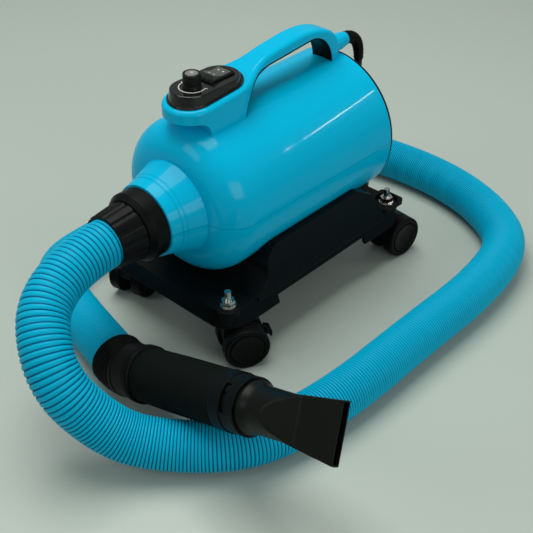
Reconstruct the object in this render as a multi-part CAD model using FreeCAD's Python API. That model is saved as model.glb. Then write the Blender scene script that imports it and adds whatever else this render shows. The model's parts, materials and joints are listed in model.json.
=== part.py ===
import FreeCAD, Part
import math
import os

V = FreeCAD.Vector

# Forced-air dryer: a drum on a rolling base, with an air hose and a hand wand.
# Millimetres, +Z up. The origin is on the floor under the middle of the base.
# X runs along the drum: the air outlet is at -X, the intake at +X.

# Clearances
FIT = 0.3
TOUCH = 0.05
RUN = 0.05

# Drum
AXIS_Z = 157.5
BODY_R = 85.5
WALL = 3.0
FRONT_X = -95.0
SHOULDER_LENGTH = 34.0
SHOULDER_DROP = 34.5
NECK_X = -167.0
NECK_R = 39.5
NECK_HOLLOW = 0.8
SEAT_DEPTH = 14.0
NECK_GROOVES = (-155.0, -150.0)
GROOVE_R = 0.9
REAR_X = 131.0
REAR_EDGE = 4.6
SEAM = 0.4
SCREW_X = (-80.0, 48.0)
SCREW_Y = 62.0
SCREW_BOSS_R = 6.0
SCREW_R = 2.0
SCREW_HEAD_R = 3.9
SCREW_HEAD_H = 3.2
SCREW_HEAD_Z = 112.0
SCREW_REACH = 18.0
WIRE_HOLE_R = 8.0

# Outlet ring and the fluted cuff that holds the hose
OUTLET_R = 37.2
OUTLET_LENGTH = 16.0
OUTLET_NOSE = 6.0
OUTLET_NOSE_R = 33.0
OUTLET_BORE_R = 28.0
CUFF_LENGTH = 29.0
CUFF_BACK_R = 31.5
CUFF_FRONT_R = 28.5
CUFF_BORE_R = 22.0
CUFF_SPIGOT = 20.0
CUFF_GRIP = 14.7
FLUTES = 14
FLUTE_R = 6.0
FLUTE_DEPTH = 0.9

# Intake cover and filter
COVER_T = 5.2
COVER_SPIGOT = 13.6
GRILLE_R = 66.0
GRILLE_RINGS = (18.0, 30.0, 42.0, 54.0)
GRILLE_BAR = 3.0
GRILLE_RIBS = 12
GRILLE_HUB_R = 9.0
FILTER_T = 6.0

# Motor and fan
SHAFT_R = 4.0
SHAFT_FRONT_X = -43.0
SHAFT_REAR_X = 106.0
STATOR_X = (-5.0, 40.0)
STATOR_HALF = 42.0
STATOR_BORE_R = 24.8
POLE_HALF = 18.0
COIL_HALF = 29.0
COIL_Z = (27.0, 36.0)
COIL_HEAD = 8.0
ARMATURE_R = 24.0
ARMATURE_X = (-3.0, 38.0)
ARMATURE_SLOTS = 12
SLOT_HALF = 1.6
SLOT_DEPTH = 10.0
WINDING_R = 21.0
WINDING_HEAD = 6.0
COMMUTATOR_X = (-26.0, -12.0)
COMMUTATOR_R = 15.0
BRUSH_X = (-24.0, -14.0)
BRUSH_HALF = 6.0
BEARING_R = 11.0
BEARING_W = 7.0
FRONT_BEARING_X = -42.0
REAR_BEARING_X = 52.0
FRAME_HUB_R = 15.5
FRAME_POST = (37.0, 43.0)
FRAME_POST_HALF = 6.0
FRONT_FRAME_X = (-45.0, -40.0)
REAR_PLATE_X = (61.0, 65.7)
REAR_WINDOWS = 10
REAR_WINDOW_R = 11.0
REAR_WINDOW_AT = 54.0
FAN_COVER_R = 70.0
FAN_COVER_X = (66.0, 112.0)
FAN_COVER_T = 2.5
FAN_INLET_R = 26.0
FAN_R = 62.0
FAN_X = (84.0, 104.0)
FAN_BLADES = 9
FAN_PLATE_T = 2.0
BLADE_HALF = 0.9
BLADE_LEAN = 38.0
BLADE_OUT = 6.0
DIFFUSER_X = (70.0, 78.0)
DIFFUSER_SLOTS = 12
DIFFUSER_SLOT_R = (34.0, 56.0)
DIFFUSER_RIM = 4.0
MOUNT_NOTCHES = 8
MOUNT_RING_X = (88.0, 104.0)

# Handle, pod and the black liner in the handle's underside
POD_FRONT_X = -126.0
POD_HALF = 30.0
POD_TAPER_X = -60.0
HANDLE_TAPER_X = 5.0
HANDLE_HALF = 13.5
HANDLE_REAR_X = 118.0
HANDLE_EDGE = 5.0
POD_UNDER_Z = 253.0
POD_DECK_Z = 266.0
DECK_END = (-50.0, 271.2)
ARCH_CREST = (14.0, 284.8)
ARCH_WAY = (1.0, 0.1)
ARCH_BACK = (70.0, 287.5)
ARCH_FALL = (98.0, 280.0)
ARCH_END = (118.0, 246.0)
HANDLE_FOOT_Z = 228.0
FOOT_FRONT_X = -99.0
FOOT_BACK_X = -49.0
FOOT_TOP_Z = 238.0
FOOT_ARC = ((-102.5, 249.0), (-110.0, 253.0))
GAP_FRONT_ARC = ((-46.5, 248.5), (-41.0, 257.5))
GAP_RISE_ARC = ((-31.5, 267.2), (-17.0, 272.3))
GAP_TOP_END = (64.0, 278.3)
GAP_FALL_ARC = ((81.0, 276.2), (93.0, 268.0))
GAP_REAR_X = 104.0
GAP_REAR_ARC = ((100.5, 257.0), (104.0, 243.0))
CAVITY_STEP = (-106.0, 239.0)
LINER_DEPTH = 6.5
LINER_PROUD = 1.0

# Control panel, knob and rocker
PANEL_FRONT_X = -96.5
PANEL_BACK_X = -57.0
PANEL_TOP_Z = 279.5
PANEL_TOP_R = 21.0
PANEL_BASE_Z = 262.0
PANEL_BASE_R = 24.0
PANEL_WALL = 3.0
PANEL_EDGE = 1.2
LIP_R = 24.6
LIP_T = 1.6
KNOB_X = -94.5
KNOB_R = 9.0
KNOB_BASE_R = 9.6
KNOB_TOP_Z = 294.5
KNOB_FLUTES = 24
KNOB_FLUTE_R = 0.6
KNOB_CAP_R = 6.5
KNOB_CAP_T = 1.4
KNOB_STEM_R = 3.0
POT_R = 8.5
POT_LENGTH = 10.0
POT_BUSH_R = 3.8
ROCKER_X = -62.0
ROCKER_Z = 277.0
BEZEL_X = 17.0
BEZEL_Y = 11.0
BEZEL_T = 1.6
ROCKER_HALF_X = 12.0
ROCKER_HALF_Y = 8.5
ROCKER_END = 7.4
ROCKER_MID = 5.2
ROCKER_REST = 8.0
ROCKER_PIN_R = 1.5
SWITCH_POCKET_X = 13.5
SWITCH_WALL = 1.4
SWITCH_DEPTH = 17.0
BOARD_X = (-94.0, -60.0)
BOARD_HALF = 20.0
BOARD_Z = 246.0
BOARD_T = 1.6
BOARD_POST_R = 2.5
BOARD_PART_H = 6.5
CHOKE_R = 4.5
SINK_X = (18.0, 34.0)
SINK_Y = (6.0, 9.0)
RELAY_Y = (-15.0, -4.0)

# Cord gland and boot
GLAND_Z = 252.5
GLAND_R = 9.7
GLAND_END_X = 141.0
GLAND_SIDES = 12
GLAND_SPIGOT_R = 7.0
GLAND_DOME = 20.0
GLAND_BORE = 13.0
BOOT_SPIGOT_R = 6.0
BOOT_START_R = 7.6
BOOT_END_R = 5.6
BOOT_BEND_R = 28.0
BOOT_TAIL = 6.5

# Rolling base
DECK_Z = 71.7
BASE_TOP_X = 147.0
BASE_TOP_Y = 91.0
BASE_LOW_X = 150.0
BASE_LOW_Y = 98.0
BASE_CORNER_TOP = 22.0
BASE_CORNER_LOW = 28.0
BASE_LOW_Z = 51.0
SKIRT_MID_Z = 60.0
SKIRT_MID_X = 73.0
BASE_WALL = 3.0
WING_TOP_Z = 118.0
WING_TOP_Y = 85.0
WING_X = (-63.0, 70.0)
WING_FOOT_X = (-102.0, 110.0)
PAD_X = 112.0
PAD_Y = (62.0, 95.0)
PAD_Z = 76.5
POCKET_R = 13.5
STUD_X = 133.0
STUD_Y = 80.0
STUD_R = 4.0
STUD_TOP_Z = 90.6
STUD_LOW_Z = 33.0
STUD_END_R = 3.5
BOSS_R = 13.0
BOSS_Z = 54.0
WASHER_R = 8.5
WASHER_T = 1.5
NUT_R = 7.5
NUT_T = 6.5
RIB_T = 2.4
RIB_X = (-62.0, 10.0, 66.0)
RIB_Y = (-42.0, 42.0)
BOSS_RIB = 20.0
BASE_SCREW_X = (-40.0, 60.0)
BASE_SCREW_R = 2.2
BASE_SCREW_BOSS_R = 6.5
BASE_SCREW_BOSS_Z = 86.5

# Casters
WHEEL_R = 25.0
WHEEL_T = 13.5
WHEEL_GAP = 8.0
WHEEL_HUB_R = 9.0
WHEEL_EDGE = 2.5
WHEEL_RECESS = 2.0
TRAIL = 14.5
AXLE_R = 3.0
AXLE_HALF = 20.5
FORK_HALF = 7.5
FORK_TOP_Z = 53.7
FORK_FLANGE_R = 8.3
FORK_FLANGE_T = 3.0
BRAKE_PIVOT = (30.0, 33.5)
BRAKE_PIN_R = 1.5
BRAKE_ARM_HALF = 3.8
BRAKE_PAD_HALF = 7.2
BRAKE_REACH = 45.5
BRAKE_SLOT = (23.0, 22.0)
CASTERS = (
    ("front_left", -1, -1, -30.5),
    ("front_right", -1, 1, 15.0),
    ("rear_left", 1, -1, -5.3),
    ("rear_right", 1, 1, -12.0),
)
BRAKED = ("front_left", "front_right")

# Air hose
HOSE_R = 25.0
HOSE_ROOT_R = 23.5
HOSE_BORE_R = 21.5
HOSE_RIBS = 200
HOSE_POINTS = (
    (-204.3, 0, 157.5),
    (-296, 0, 157.5),
    (-348, -60, 108),
    (-318, -105, 42),
    (-283, -145, 25.5),
    (-225, -205, 25.5),
    (-120, -223, 25.5),
    (0, -221, 25.5),
    (120, -223, 25.5),
    (215, -205, 25.5),
    (260, -148, 25.5),
    (284, -75, 25.5),
    (286, 10, 25.5),
    (270, 85, 25.5),
    (222, 135, 25.5),
    (150, 157, 25.5),
    (55, 156, 25.5),
    (-25, 160, 25.5),
    (-97, 166, 25.5),
    (-185, 159, 25.5),
    (-213.7, 72.5, 25.5),
    (-237, -20.5, 32.5),
)

# Hand wand, by distance along it from the hose's end
WAND_DIRECTION = (0.0, -0.944, 0.329)
BELLOWS_LENGTH = 40.0
BELLOWS_RIBS = 7
BELLOWS_R = 28.5
BELLOWS_ROOT_R = 25.5
WAND_BORE_R = 21.5
BAND_END = 52.0
CUFF_RING_R = 29.6
RING_END = 60.0
WAND_TUBE_R = 24.0
GRIP_R = 27.7
GRIP_END = 180.0
COLLAR_R = 27.4
COLLAR_RIM_R = 28.4
COLLAR_RIM_END = 193.0
COLLAR_END = 211.0
COLLAR_SEAT = 24.0
COLLAR_BORE_R = 24.6
LUG_HALF = 3.0
LUG_R = 26.0
LUG_SPAN = 8.0
LUG_SEAT = 17.4
LUG_ANGLE = 116.0
SLOT_SPAN = 9.5
ENTRY_R = 26.4
TWIST_SPAN = 40.0
NOZZLE_BASE_R = 25.0
NOZZLE_BASE_END = 214.5
NOZZLE_NECK = ((225.0, 21.9), (256.0, 21.5))
NOZZLE_END = 314.0
MOUTH_HALF_LONG = 27.6
MOUTH_HALF_SHORT = 4.8
FLAT_START = (230.2, 26.0)
FLAT_CREASES = ((271.0, 7.2), (293.0, 6.1))
NOZZLE_WALL = 1.5
NOZZLE_ROLL = 55.1

# Power cord, coil and plug
CORD_R = 4.5
CORD_POINTS = (
    (169, 0, 217.8),
    (170, 2, 152),
    (173, -16, 82),
    (178, -16, 36.7),
    (188, 16, 4.7),
    (204, 59, 4.7),
    (222, 115, 62),
    (230, 157, 62),
    (238, 214, 4.7),
    (238, 257, 4.7),
)
COIL_R = 62.0
COIL_TURNS = 6.5
COIL_STEP = 9.6
COIL_LAYER = 9.6
COIL_TAIL = 48.0
PLUG_HALF = 13.8
PLUG_LENGTH = 40.0
PLUG_HALF_X = 11.0
PLUG_NECK = 16.0
PLUG_NECK_R = (6.0, 10.5)
PIN_LENGTH = 19.0
PIN_GAP = 6.35
PIN_SIZE = (1.6, 6.4)

# Sizes worked out from the ones above
SHELL_END_X = REAR_X - COVER_T - FIT
INNER_R = BODY_R - WALL
SHOULDER_X = FRONT_X - SHOULDER_LENGTH
SHOULDER_R = BODY_R - SHOULDER_DROP
SEAT_R = NECK_R - WALL
SEAT_X = NECK_X + SEAT_DEPTH
OUTLET_BACK_X = NECK_X - FIT
OUTLET_NOSE_X = OUTLET_BACK_X - OUTLET_LENGTH
OUTLET_FRONT_X = OUTLET_NOSE_X - OUTLET_NOSE
CUFF_BACK_X = OUTLET_FRONT_X - FIT
CUFF_FRONT_X = CUFF_BACK_X - CUFF_LENGTH
HOSE_SEAT_X = CUFF_FRONT_X + CUFF_GRIP
WHEEL_Z = WHEEL_R
HALF_SQUARE = math.sqrt(0.5)
CORD_SHARE = 0.45


def at_side(x, z):
    return V(x, 0, z)


def at_plan(x, y):
    return V(x, y, 0)


def at_section(y, z):
    return V(0, y, z)


def at_drum(x, r):
    return V(x, 0, AXIS_Z + r)


def smooth(place, start, step):
    """A smooth edge: a step's points, between its first and last directions."""
    first, *points, last = step
    zero = place(0, 0)
    curve = Part.BSplineCurve()
    curve.interpolate(
        Points=[start] + [place(*p) for p in points],
        InitialTangent=place(*first) - zero,
        FinalTangent=place(*last) - zero,
    )
    return curve.toShape()


def outline(place, start, *steps):
    """A face whose border runs through the steps.

    A point ends a line, a pair of points an arc, and a list is a smooth curve.
    """
    edges = []
    here = place(*start)
    for step in steps:
        if isinstance(step, list):
            end = place(*step[-2])
            edges.append(smooth(place, here, step))
        elif isinstance(step[0], tuple):
            end = place(*step[1])
            edges.append(Part.Arc(here, place(*step[0]), end).toShape())
        else:
            end = place(*step)
            edges.append(Part.LineSegment(here, end).toShape())
        here = end
    if (here - place(*start)).Length > 1e-7:
        edges.append(Part.LineSegment(here, place(*start)).toShape())
    return Part.Face(Part.Wire(edges))


def turned(start, *steps):
    """An outline of (x, radius) turned about the drum's axis."""
    return outline(at_drum, start, *steps).revolve(V(0, 0, AXIS_Z), V(1, 0, 0), 360)


def slab(face, half):
    """A side outline given a width, even about the middle plane."""
    return face.translated(V(0, -half, 0)).extrude(V(0, 2 * half, 0))


def prism(face, low, high):
    """A plan outline raised between two heights."""
    return face.translated(V(0, 0, low)).extrude(V(0, 0, high - low))


def rod(radius, start, end):
    """A round bar between two points."""
    way = V(*end) - V(*start)
    return Part.makeCylinder(radius, way.Length, V(*start), way)


def drum_ring(inner, outer, x0, x1):
    """A ring about the drum's axis."""
    ring = rod(outer, (x0, 0, AXIS_Z), (x1, 0, AXIS_Z))
    return ring.cut(rod(inner, (x0 - 1, 0, AXIS_Z), (x1 + 1, 0, AXIS_Z)))


def block(x, y, z):
    """A box between pairs of coordinates."""
    return Part.makeBox(x[1] - x[0], y[1] - y[0], z[1] - z[0], V(x[0], y[0], z[0]))


def drum_block(x, y, z):
    """A box whose heights are counted from the drum's axis."""
    return block(x, y, (AXIS_Z + z[0], AXIS_Z + z[1]))


def about_axis(shape, angle):
    """A copy turned about the drum's axis."""
    copy = shape.copy()
    copy.rotate(V(0, 0, AXIS_Z), V(1, 0, 0), angle)
    return copy


def joined(shapes):
    """The shapes made one solid."""
    first = shapes[0]
    return first.fuse(shapes[1:]).removeSplitter() if len(shapes) > 1 else first


def group(shapes):
    """Separate solids kept together."""
    return Part.makeCompound(shapes)


def mirrored_y(shape):
    return shape.mirror(V(0, 0, 0), V(0, 1, 0))


class Route:
    """Straight runs joined by tangent arcs, each as large as its two runs allow."""

    def __init__(self, points):
        self.points = [V(*p) for p in points]
        self.radii = []
        self.edges = []
        here = self.points[0]
        for before, corner, after in zip(self.points, self.points[1:], self.points[2:]):
            way_in = (corner - before).normalize()
            way_out = (after - corner).normalize()
            reach = CORD_SHARE * min((corner - before).Length, (after - corner).Length)
            half_turn = way_in.getAngle(way_out) / 2
            radius = reach / math.tan(half_turn)
            start = corner - way_in * reach
            end = corner + way_out * reach
            inward = (way_out - way_in).normalize()
            middle = corner + inward * (radius / math.cos(half_turn) - radius)
            self.edges.append(Part.LineSegment(here, start).toShape())
            self.edges.append(Part.Arc(start, middle, end).toShape())
            self.radii.append(radius)
            here = end
        self.edges.append(Part.LineSegment(here, self.points[-1]).toShape())
        self.length = sum(edge.Length for edge in self.edges)

    def place(self, distance):
        """The point and direction at a distance along the route."""
        left = distance
        for edge in self.edges:
            if left <= edge.Length + 1e-9 or edge is self.edges[-1]:
                value = edge.getParameterByLength(min(left, edge.Length))
                return edge.valueAt(value), edge.tangentAt(value)
            left -= edge.Length

    def tube(self, radius):
        """A round tube along the route."""
        return swept(self.edges, radius)


def swept(edges, radius):
    """A round bar swept along edges that meet tangent to each other."""
    first = edges[0]
    ring = Part.makeCircle(radius, first.firstVertex().Point, first.tangentAt(first.FirstParameter))
    return Part.Wire(edges).makePipeShell([Part.Wire([ring])], True, False)


def rings_along(route, sections):
    """Circles at (distance, radius) along a route, turned as little as can be."""
    wires = []
    steady = V(0, 0, 1)
    for distance, radius in sections:
        point, way = route.place(distance)
        if abs(steady.dot(way)) > 0.95:
            steady = V(1, 0, 0)
        steady = (steady - way * steady.dot(way)).normalize()
        ring = Part.makeCircle(radius)
        ring.Placement = FreeCAD.Placement(point, FreeCAD.Rotation(steady, V(), way, "ZXY"))
        wires.append(Part.Wire([ring]))
    return wires


def ribbed(route, ribs, crest, root, bore):
    """A ribbed tube: each rib rises, runs level and falls between four circles."""
    pitch = route.length / ribs
    sections = []
    for i in range(ribs):
        start = i * pitch
        sections += [
            (start, root),
            (start + 0.2 * pitch, crest),
            (start + 0.6 * pitch, crest),
            (start + 0.8 * pitch, root),
        ]
    sections.append((route.length, root))
    skin = Part.makeLoft(rings_along(route, sections), True, True)
    return skin.cut(route.tube(bore))


def drum_skin():
    neck_middle_x = (NECK_X + SHOULDER_X) / 2
    neck_middle_r = (NECK_R + SHOULDER_R) / 2 - NECK_HOLLOW
    shoulder = (
        (FRONT_X - SHOULDER_LENGTH * HALF_SQUARE, SHOULDER_R + SHOULDER_DROP * HALF_SQUARE),
        (FRONT_X, BODY_R),
    )
    skin = turned(
        (NECK_X, 0),
        (NECK_X, NECK_R),
        ((neck_middle_x, neck_middle_r), (SHOULDER_X, SHOULDER_R)),
        shoulder,
        (SHELL_END_X, BODY_R),
        (SHELL_END_X, 0),
    )
    slope = (SHOULDER_R - NECK_R) / (SHOULDER_X - NECK_X)
    for x in NECK_GROOVES:
        height = NECK_R + slope * (x - NECK_X) - NECK_HOLLOW / 2
        ring = Part.makeTorus(height, GROOVE_R, V(x, 0, AXIS_Z), V(1, 0, 0))
        skin = skin.cut(ring)
    return skin


def drum_hollow():
    length = SHOULDER_LENGTH - WALL
    drop = SHOULDER_DROP - WALL
    slope = (SHOULDER_R - NECK_R) / (SHOULDER_X - NECK_X)
    seat_back_r = NECK_R + slope * (SEAT_X - NECK_X) - NECK_HOLLOW - WALL
    return turned(
        (NECK_X - 1, 0),
        (NECK_X - 1, SEAT_R),
        (SEAT_X, SEAT_R),
        (SEAT_X, seat_back_r),
        (FRONT_X - length, SHOULDER_R - WALL),
        (FRONT_X - length, SHOULDER_R),
        (
            (FRONT_X - length * HALF_SQUARE, SHOULDER_R + drop * HALF_SQUARE),
            (FRONT_X, INNER_R),
        ),
        (SHELL_END_X + 1, INNER_R),
        (SHELL_END_X + 1, 0),
    )


def screw_places():
    return [(x, y) for x in SCREW_X for y in (-SCREW_Y, SCREW_Y)]


def make_shells():
    skin = drum_skin()
    shell = skin.cut(drum_hollow())
    seam_low = AXIS_Z - SEAM / 2
    seam_high = AXIS_Z + SEAM / 2
    reach = (NECK_X - 10, REAR_X + 10)
    side = (-BODY_R - 5, BODY_R + 5)
    below = block(reach, side, (AXIS_Z - BODY_R - 5, seam_low))
    above = block(reach, side, (seam_high, AXIS_Z + BODY_R + 5))
    lower = [shell.common(below)]
    upper = [shell.common(above)]
    for x, y in screw_places():
        column = rod(SCREW_BOSS_R, (x, y, AXIS_Z - BODY_R), (x, y, AXIS_Z + BODY_R)).common(skin)
        lower.append(column.common(below))
        upper.append(column.common(above))
    for x in BASE_SCREW_X:
        boss = rod(BASE_SCREW_BOSS_R, (x, 0, AXIS_Z - BODY_R), (x, 0, BASE_SCREW_BOSS_Z))
        lower.append(boss.common(skin))
    post_y = BOARD_HALF - 2 * BOARD_POST_R
    for x in (BOARD_X[0] + 2 * BOARD_POST_R, BOARD_X[1] - 2 * BOARD_POST_R):
        for y in (-post_y, post_y):
            upper.append(rod(BOARD_POST_R, (x, y, AXIS_Z + INNER_R - WALL), (x, y, BOARD_Z - TOUCH)))
    lower = joined(lower)
    upper = joined(upper)
    for x, y in screw_places():
        hole = rod(SCREW_R + 4 * RUN, (x, y, 0), (x, y, seam_high + SCREW_REACH + FIT))
        lower = lower.cut(hole)
        lower = lower.cut(rod(SCREW_HEAD_R + FIT, (x, y, 0), (x, y, SCREW_HEAD_Z)))
        upper = upper.cut(hole)
    for x in BASE_SCREW_X:
        lower = lower.cut(rod(BASE_SCREW_R + 2 * RUN, (x, 0, 0), (x, 0, BASE_SCREW_BOSS_Z - WALL)))
    wire_x = (BOARD_X[0] + BOARD_X[1]) / 2
    upper = upper.cut(rod(WIRE_HOLE_R, (wire_x, 0, AXIS_Z), (wire_x, 0, AXIS_Z + BODY_R + 5)))
    return {"lower_shell": lower, "upper_shell": upper}


def make_screws():
    screws = []
    for x, y in screw_places():
        head_z = SCREW_HEAD_Z - TOUCH
        head = rod(SCREW_HEAD_R, (x, y, head_z - SCREW_HEAD_H), (x, y, head_z))
        shank = rod(SCREW_R, (x, y, head_z - 1), (x, y, AXIS_Z + SEAM / 2 + SCREW_REACH))
        screws.append(joined([head, shank]))
    under = DECK_Z - BASE_WALL - TOUCH
    for x in BASE_SCREW_X:
        head = rod(SCREW_HEAD_R, (x, 0, under - SCREW_HEAD_H), (x, 0, under))
        shank = rod(BASE_SCREW_R, (x, 0, under - 1), (x, 0, BASE_SCREW_BOSS_Z - WALL - FIT))
        screws.append(joined([head, shank]))
    return {"casing_screws": group(screws)}


def make_outlet_ring():
    ring = turned(
        (OUTLET_BACK_X, OUTLET_BORE_R),
        (OUTLET_BACK_X, OUTLET_R),
        (OUTLET_NOSE_X, OUTLET_R),
        (OUTLET_FRONT_X, OUTLET_NOSE_R),
        (OUTLET_FRONT_X, OUTLET_BORE_R),
    )
    spigot = drum_ring(OUTLET_BORE_R, SEAT_R - FIT, OUTLET_BACK_X - 1, SEAT_X - FIT)
    return {"outlet_ring": joined([ring, spigot])}


def make_hose_cuff():
    cuff = turned(
        (CUFF_BACK_X, 0),
        (CUFF_BACK_X, CUFF_BACK_R),
        (CUFF_FRONT_X, CUFF_FRONT_R),
        (CUFF_FRONT_X, 0),
    )
    middle = (CUFF_BACK_X + CUFF_FRONT_X) / 2
    offset = (CUFF_BACK_R + CUFF_FRONT_R) / 2 + FLUTE_R - FLUTE_DEPTH
    lean = (CUFF_BACK_R - CUFF_FRONT_R) / 2
    groove = rod(
        FLUTE_R,
        (middle - CUFF_LENGTH, 0, AXIS_Z + offset - 2 * lean),
        (middle + CUFF_LENGTH, 0, AXIS_Z + offset + 2 * lean),
    )
    grooves = [about_axis(groove, 360.0 * i / FLUTES) for i in range(FLUTES)]
    cuff = cuff.cut(grooves)
    spigot = rod(OUTLET_BORE_R - FIT, (CUFF_BACK_X + CUFF_SPIGOT, 0, AXIS_Z), (CUFF_BACK_X - 1, 0, AXIS_Z))
    cuff = joined([cuff, spigot])
    cuff = cuff.cut(rod(CUFF_BORE_R, (CUFF_FRONT_X - 1, 0, AXIS_Z), (0, 0, AXIS_Z)))
    cuff = cuff.cut(rod(HOSE_R + FIT, (CUFF_FRONT_X - 1, 0, AXIS_Z), (HOSE_SEAT_X, 0, AXIS_Z)))
    return {"hose_cuff": cuff}


def make_intake():
    face_x = REAR_X - COVER_T
    rim = turned(
        (face_x, GRILLE_R),
        (face_x, BODY_R),
        (REAR_X - REAR_EDGE, BODY_R),
        (
            (REAR_X - REAR_EDGE * (1 - HALF_SQUARE), BODY_R - REAR_EDGE * (1 - HALF_SQUARE)),
            (REAR_X, BODY_R - REAR_EDGE),
        ),
        (REAR_X, GRILLE_R),
    )
    spigot = drum_ring(INNER_R - FIT - WALL, INNER_R - FIT, face_x - COVER_SPIGOT, face_x + 1)
    bars_x = (face_x + 1.2, REAR_X - 1.0)
    bars = [rod(GRILLE_HUB_R, (bars_x[0], 0, AXIS_Z), (bars_x[1], 0, AXIS_Z))]
    for radius in GRILLE_RINGS:
        bars.append(drum_ring(radius, radius + GRILLE_BAR, *bars_x))
    for i in range(GRILLE_RIBS):
        rib = drum_block(bars_x, (-GRILLE_BAR / 2, GRILLE_BAR / 2), (GRILLE_HUB_R - 2, GRILLE_R + 1))
        bars.append(about_axis(rib, 360.0 * i / GRILLE_RIBS))
    cover = joined([rim, spigot] + bars)
    filter_x = face_x - FIT
    pad = rod(INNER_R - 2 * FIT - WALL, (filter_x - FILTER_T, 0, AXIS_Z), (filter_x, 0, AXIS_Z))
    return {"intake_cover": cover, "intake_filter": pad}


def frame_posts(x0, x1):
    """Four posts that join a motor frame to the stator."""
    low, high = FRAME_POST
    half = FRAME_POST_HALF
    post = drum_block((x0, x1), (-half, half), (low, high))
    return [about_axis(post, 90.0 * i) for i in range(4)]


def make_motor_frames():
    front_x, arm_x = FRONT_FRAME_X
    bar = drum_block((front_x, arm_x), (-FRAME_POST[1], FRAME_POST[1]), (-FRAME_POST_HALF, FRAME_POST_HALF))
    hub_end = FRONT_BEARING_X + BEARING_W + 1
    front = joined(
        [bar, about_axis(bar, 90), rod(FRAME_HUB_R, (front_x, 0, AXIS_Z), (hub_end, 0, AXIS_Z))]
        + frame_posts(arm_x - 1, STATOR_X[0] - TOUCH)
    )
    seat_x = FRONT_BEARING_X - TOUCH
    front = front.cut(rod(BEARING_R + TOUCH, (seat_x, 0, AXIS_Z), (hub_end + 1, 0, AXIS_Z)))
    front = front.cut(rod(SHAFT_R + 1, (front_x - 1, 0, AXIS_Z), (hub_end, 0, AXIS_Z)))

    plate_x, back_x = REAR_PLATE_X
    hub_start = REAR_BEARING_X - 2
    plate = rod(FAN_COVER_R, (plate_x, 0, AXIS_Z), (back_x, 0, AXIS_Z))
    window_z = AXIS_Z + REAR_WINDOW_AT
    window = rod(REAR_WINDOW_R, (plate_x - 1, 0, window_z), (back_x + 1, 0, window_z))
    plate = plate.cut([about_axis(window, 360.0 * i / REAR_WINDOWS) for i in range(REAR_WINDOWS)])
    rear = joined(
        [plate, rod(FRAME_HUB_R, (hub_start, 0, AXIS_Z), (plate_x + 1, 0, AXIS_Z))]
        + frame_posts(STATOR_X[1] + TOUCH, plate_x + 1)
    )
    seat_end = REAR_BEARING_X + BEARING_W + TOUCH
    rear = rear.cut(rod(BEARING_R + TOUCH, (hub_start - 1, 0, AXIS_Z), (seat_end, 0, AXIS_Z)))
    rear = rear.cut(rod(SHAFT_R + 1, (hub_start, 0, AXIS_Z), (back_x + 1, 0, AXIS_Z)))
    bearings = [
        drum_ring(SHAFT_R + RUN, BEARING_R, x, x + BEARING_W) for x in (FRONT_BEARING_X, REAR_BEARING_X)
    ]
    return {
        "motor_front_frame": front,
        "motor_rear_frame": rear,
        "motor_bearings": group(bearings),
    }


def make_stator():
    x0, x1 = STATOR_X
    stack = drum_block((x0, x1), (-STATOR_HALF, STATOR_HALF), (-STATOR_HALF, STATOR_HALF))
    stack = stack.cut(rod(STATOR_BORE_R, (x0 - 1, 0, AXIS_Z), (x1 + 1, 0, AXIS_Z)))
    slot = drum_block(
        (x0 - 1, x1 + 1),
        (POLE_HALF, COIL_HALF + FIT),
        (COIL_Z[0] - FIT, COIL_Z[1] + FIT),
    )
    slots = [slot, mirrored_y(slot)]
    slots += [about_axis(s, 180) for s in slots]
    stack = stack.cut(slots)
    outer = drum_block((x0 - COIL_HEAD, x1 + COIL_HEAD), (-COIL_HALF, COIL_HALF), COIL_Z)
    inner = drum_block(
        (x0 - TOUCH, x1 + TOUCH),
        (-POLE_HALF - TOUCH, POLE_HALF + TOUCH),
        (COIL_Z[0] - 1, COIL_Z[1] + 1),
    )
    coil = outer.cut(inner)
    return {"stator_core": stack, "field_windings": group([coil, about_axis(coil, 180)])}


def make_rotor():
    shaft = rod(SHAFT_R, (SHAFT_FRONT_X, 0, AXIS_Z), (SHAFT_REAR_X, 0, AXIS_Z))
    x0, x1 = ARMATURE_X
    core = drum_ring(SHAFT_R + TOUCH, ARMATURE_R, x0, x1)
    slot = drum_block(
        (x0 - 1, x1 + 1),
        (-SLOT_HALF, SLOT_HALF),
        (ARMATURE_R - SLOT_DEPTH, ARMATURE_R + 1),
    )
    core = core.cut([about_axis(slot, 360.0 * i / ARMATURE_SLOTS) for i in range(ARMATURE_SLOTS)])
    heads = [
        drum_ring(SHAFT_R + 4, WINDING_R, x0 - WINDING_HEAD, x0 - TOUCH),
        drum_ring(SHAFT_R + 4, WINDING_R, x1 + TOUCH, x1 + WINDING_HEAD),
    ]
    commutator = drum_ring(SHAFT_R + TOUCH, COMMUTATOR_R, *COMMUTATOR_X)
    fan_x0, fan_x1 = FAN_X
    back = drum_ring(SHAFT_R + TOUCH, FAN_R, fan_x0, fan_x0 + FAN_PLATE_T)
    shroud = drum_ring(FAN_INLET_R, FAN_R, fan_x1 - FAN_PLATE_T, fan_x1)
    hub = drum_ring(SHAFT_R + TOUCH, 2.5 * SHAFT_R, fan_x0, fan_x1 - FAN_PLATE_T)
    blade = drum_block(
        (fan_x0 + 1, fan_x1 - 1),
        (-BLADE_HALF, BLADE_HALF),
        (-FAN_INLET_R, FAN_R / 2),
    )
    blade.rotate(V(0, 0, AXIS_Z), V(1, 0, 0), BLADE_LEAN)
    blade.translate(V(0, 0, FAN_R / 2 + BLADE_OUT))
    wheel = rod(FAN_R - 1, (fan_x0, 0, AXIS_Z), (fan_x1, 0, AXIS_Z))
    blades = [about_axis(blade.common(wheel), 360.0 * i / FAN_BLADES) for i in range(FAN_BLADES)]
    return {
        "motor_shaft": shaft,
        "armature": group([core, commutator] + heads),
        "impeller": joined([back, shroud, hub] + blades),
    }


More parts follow.
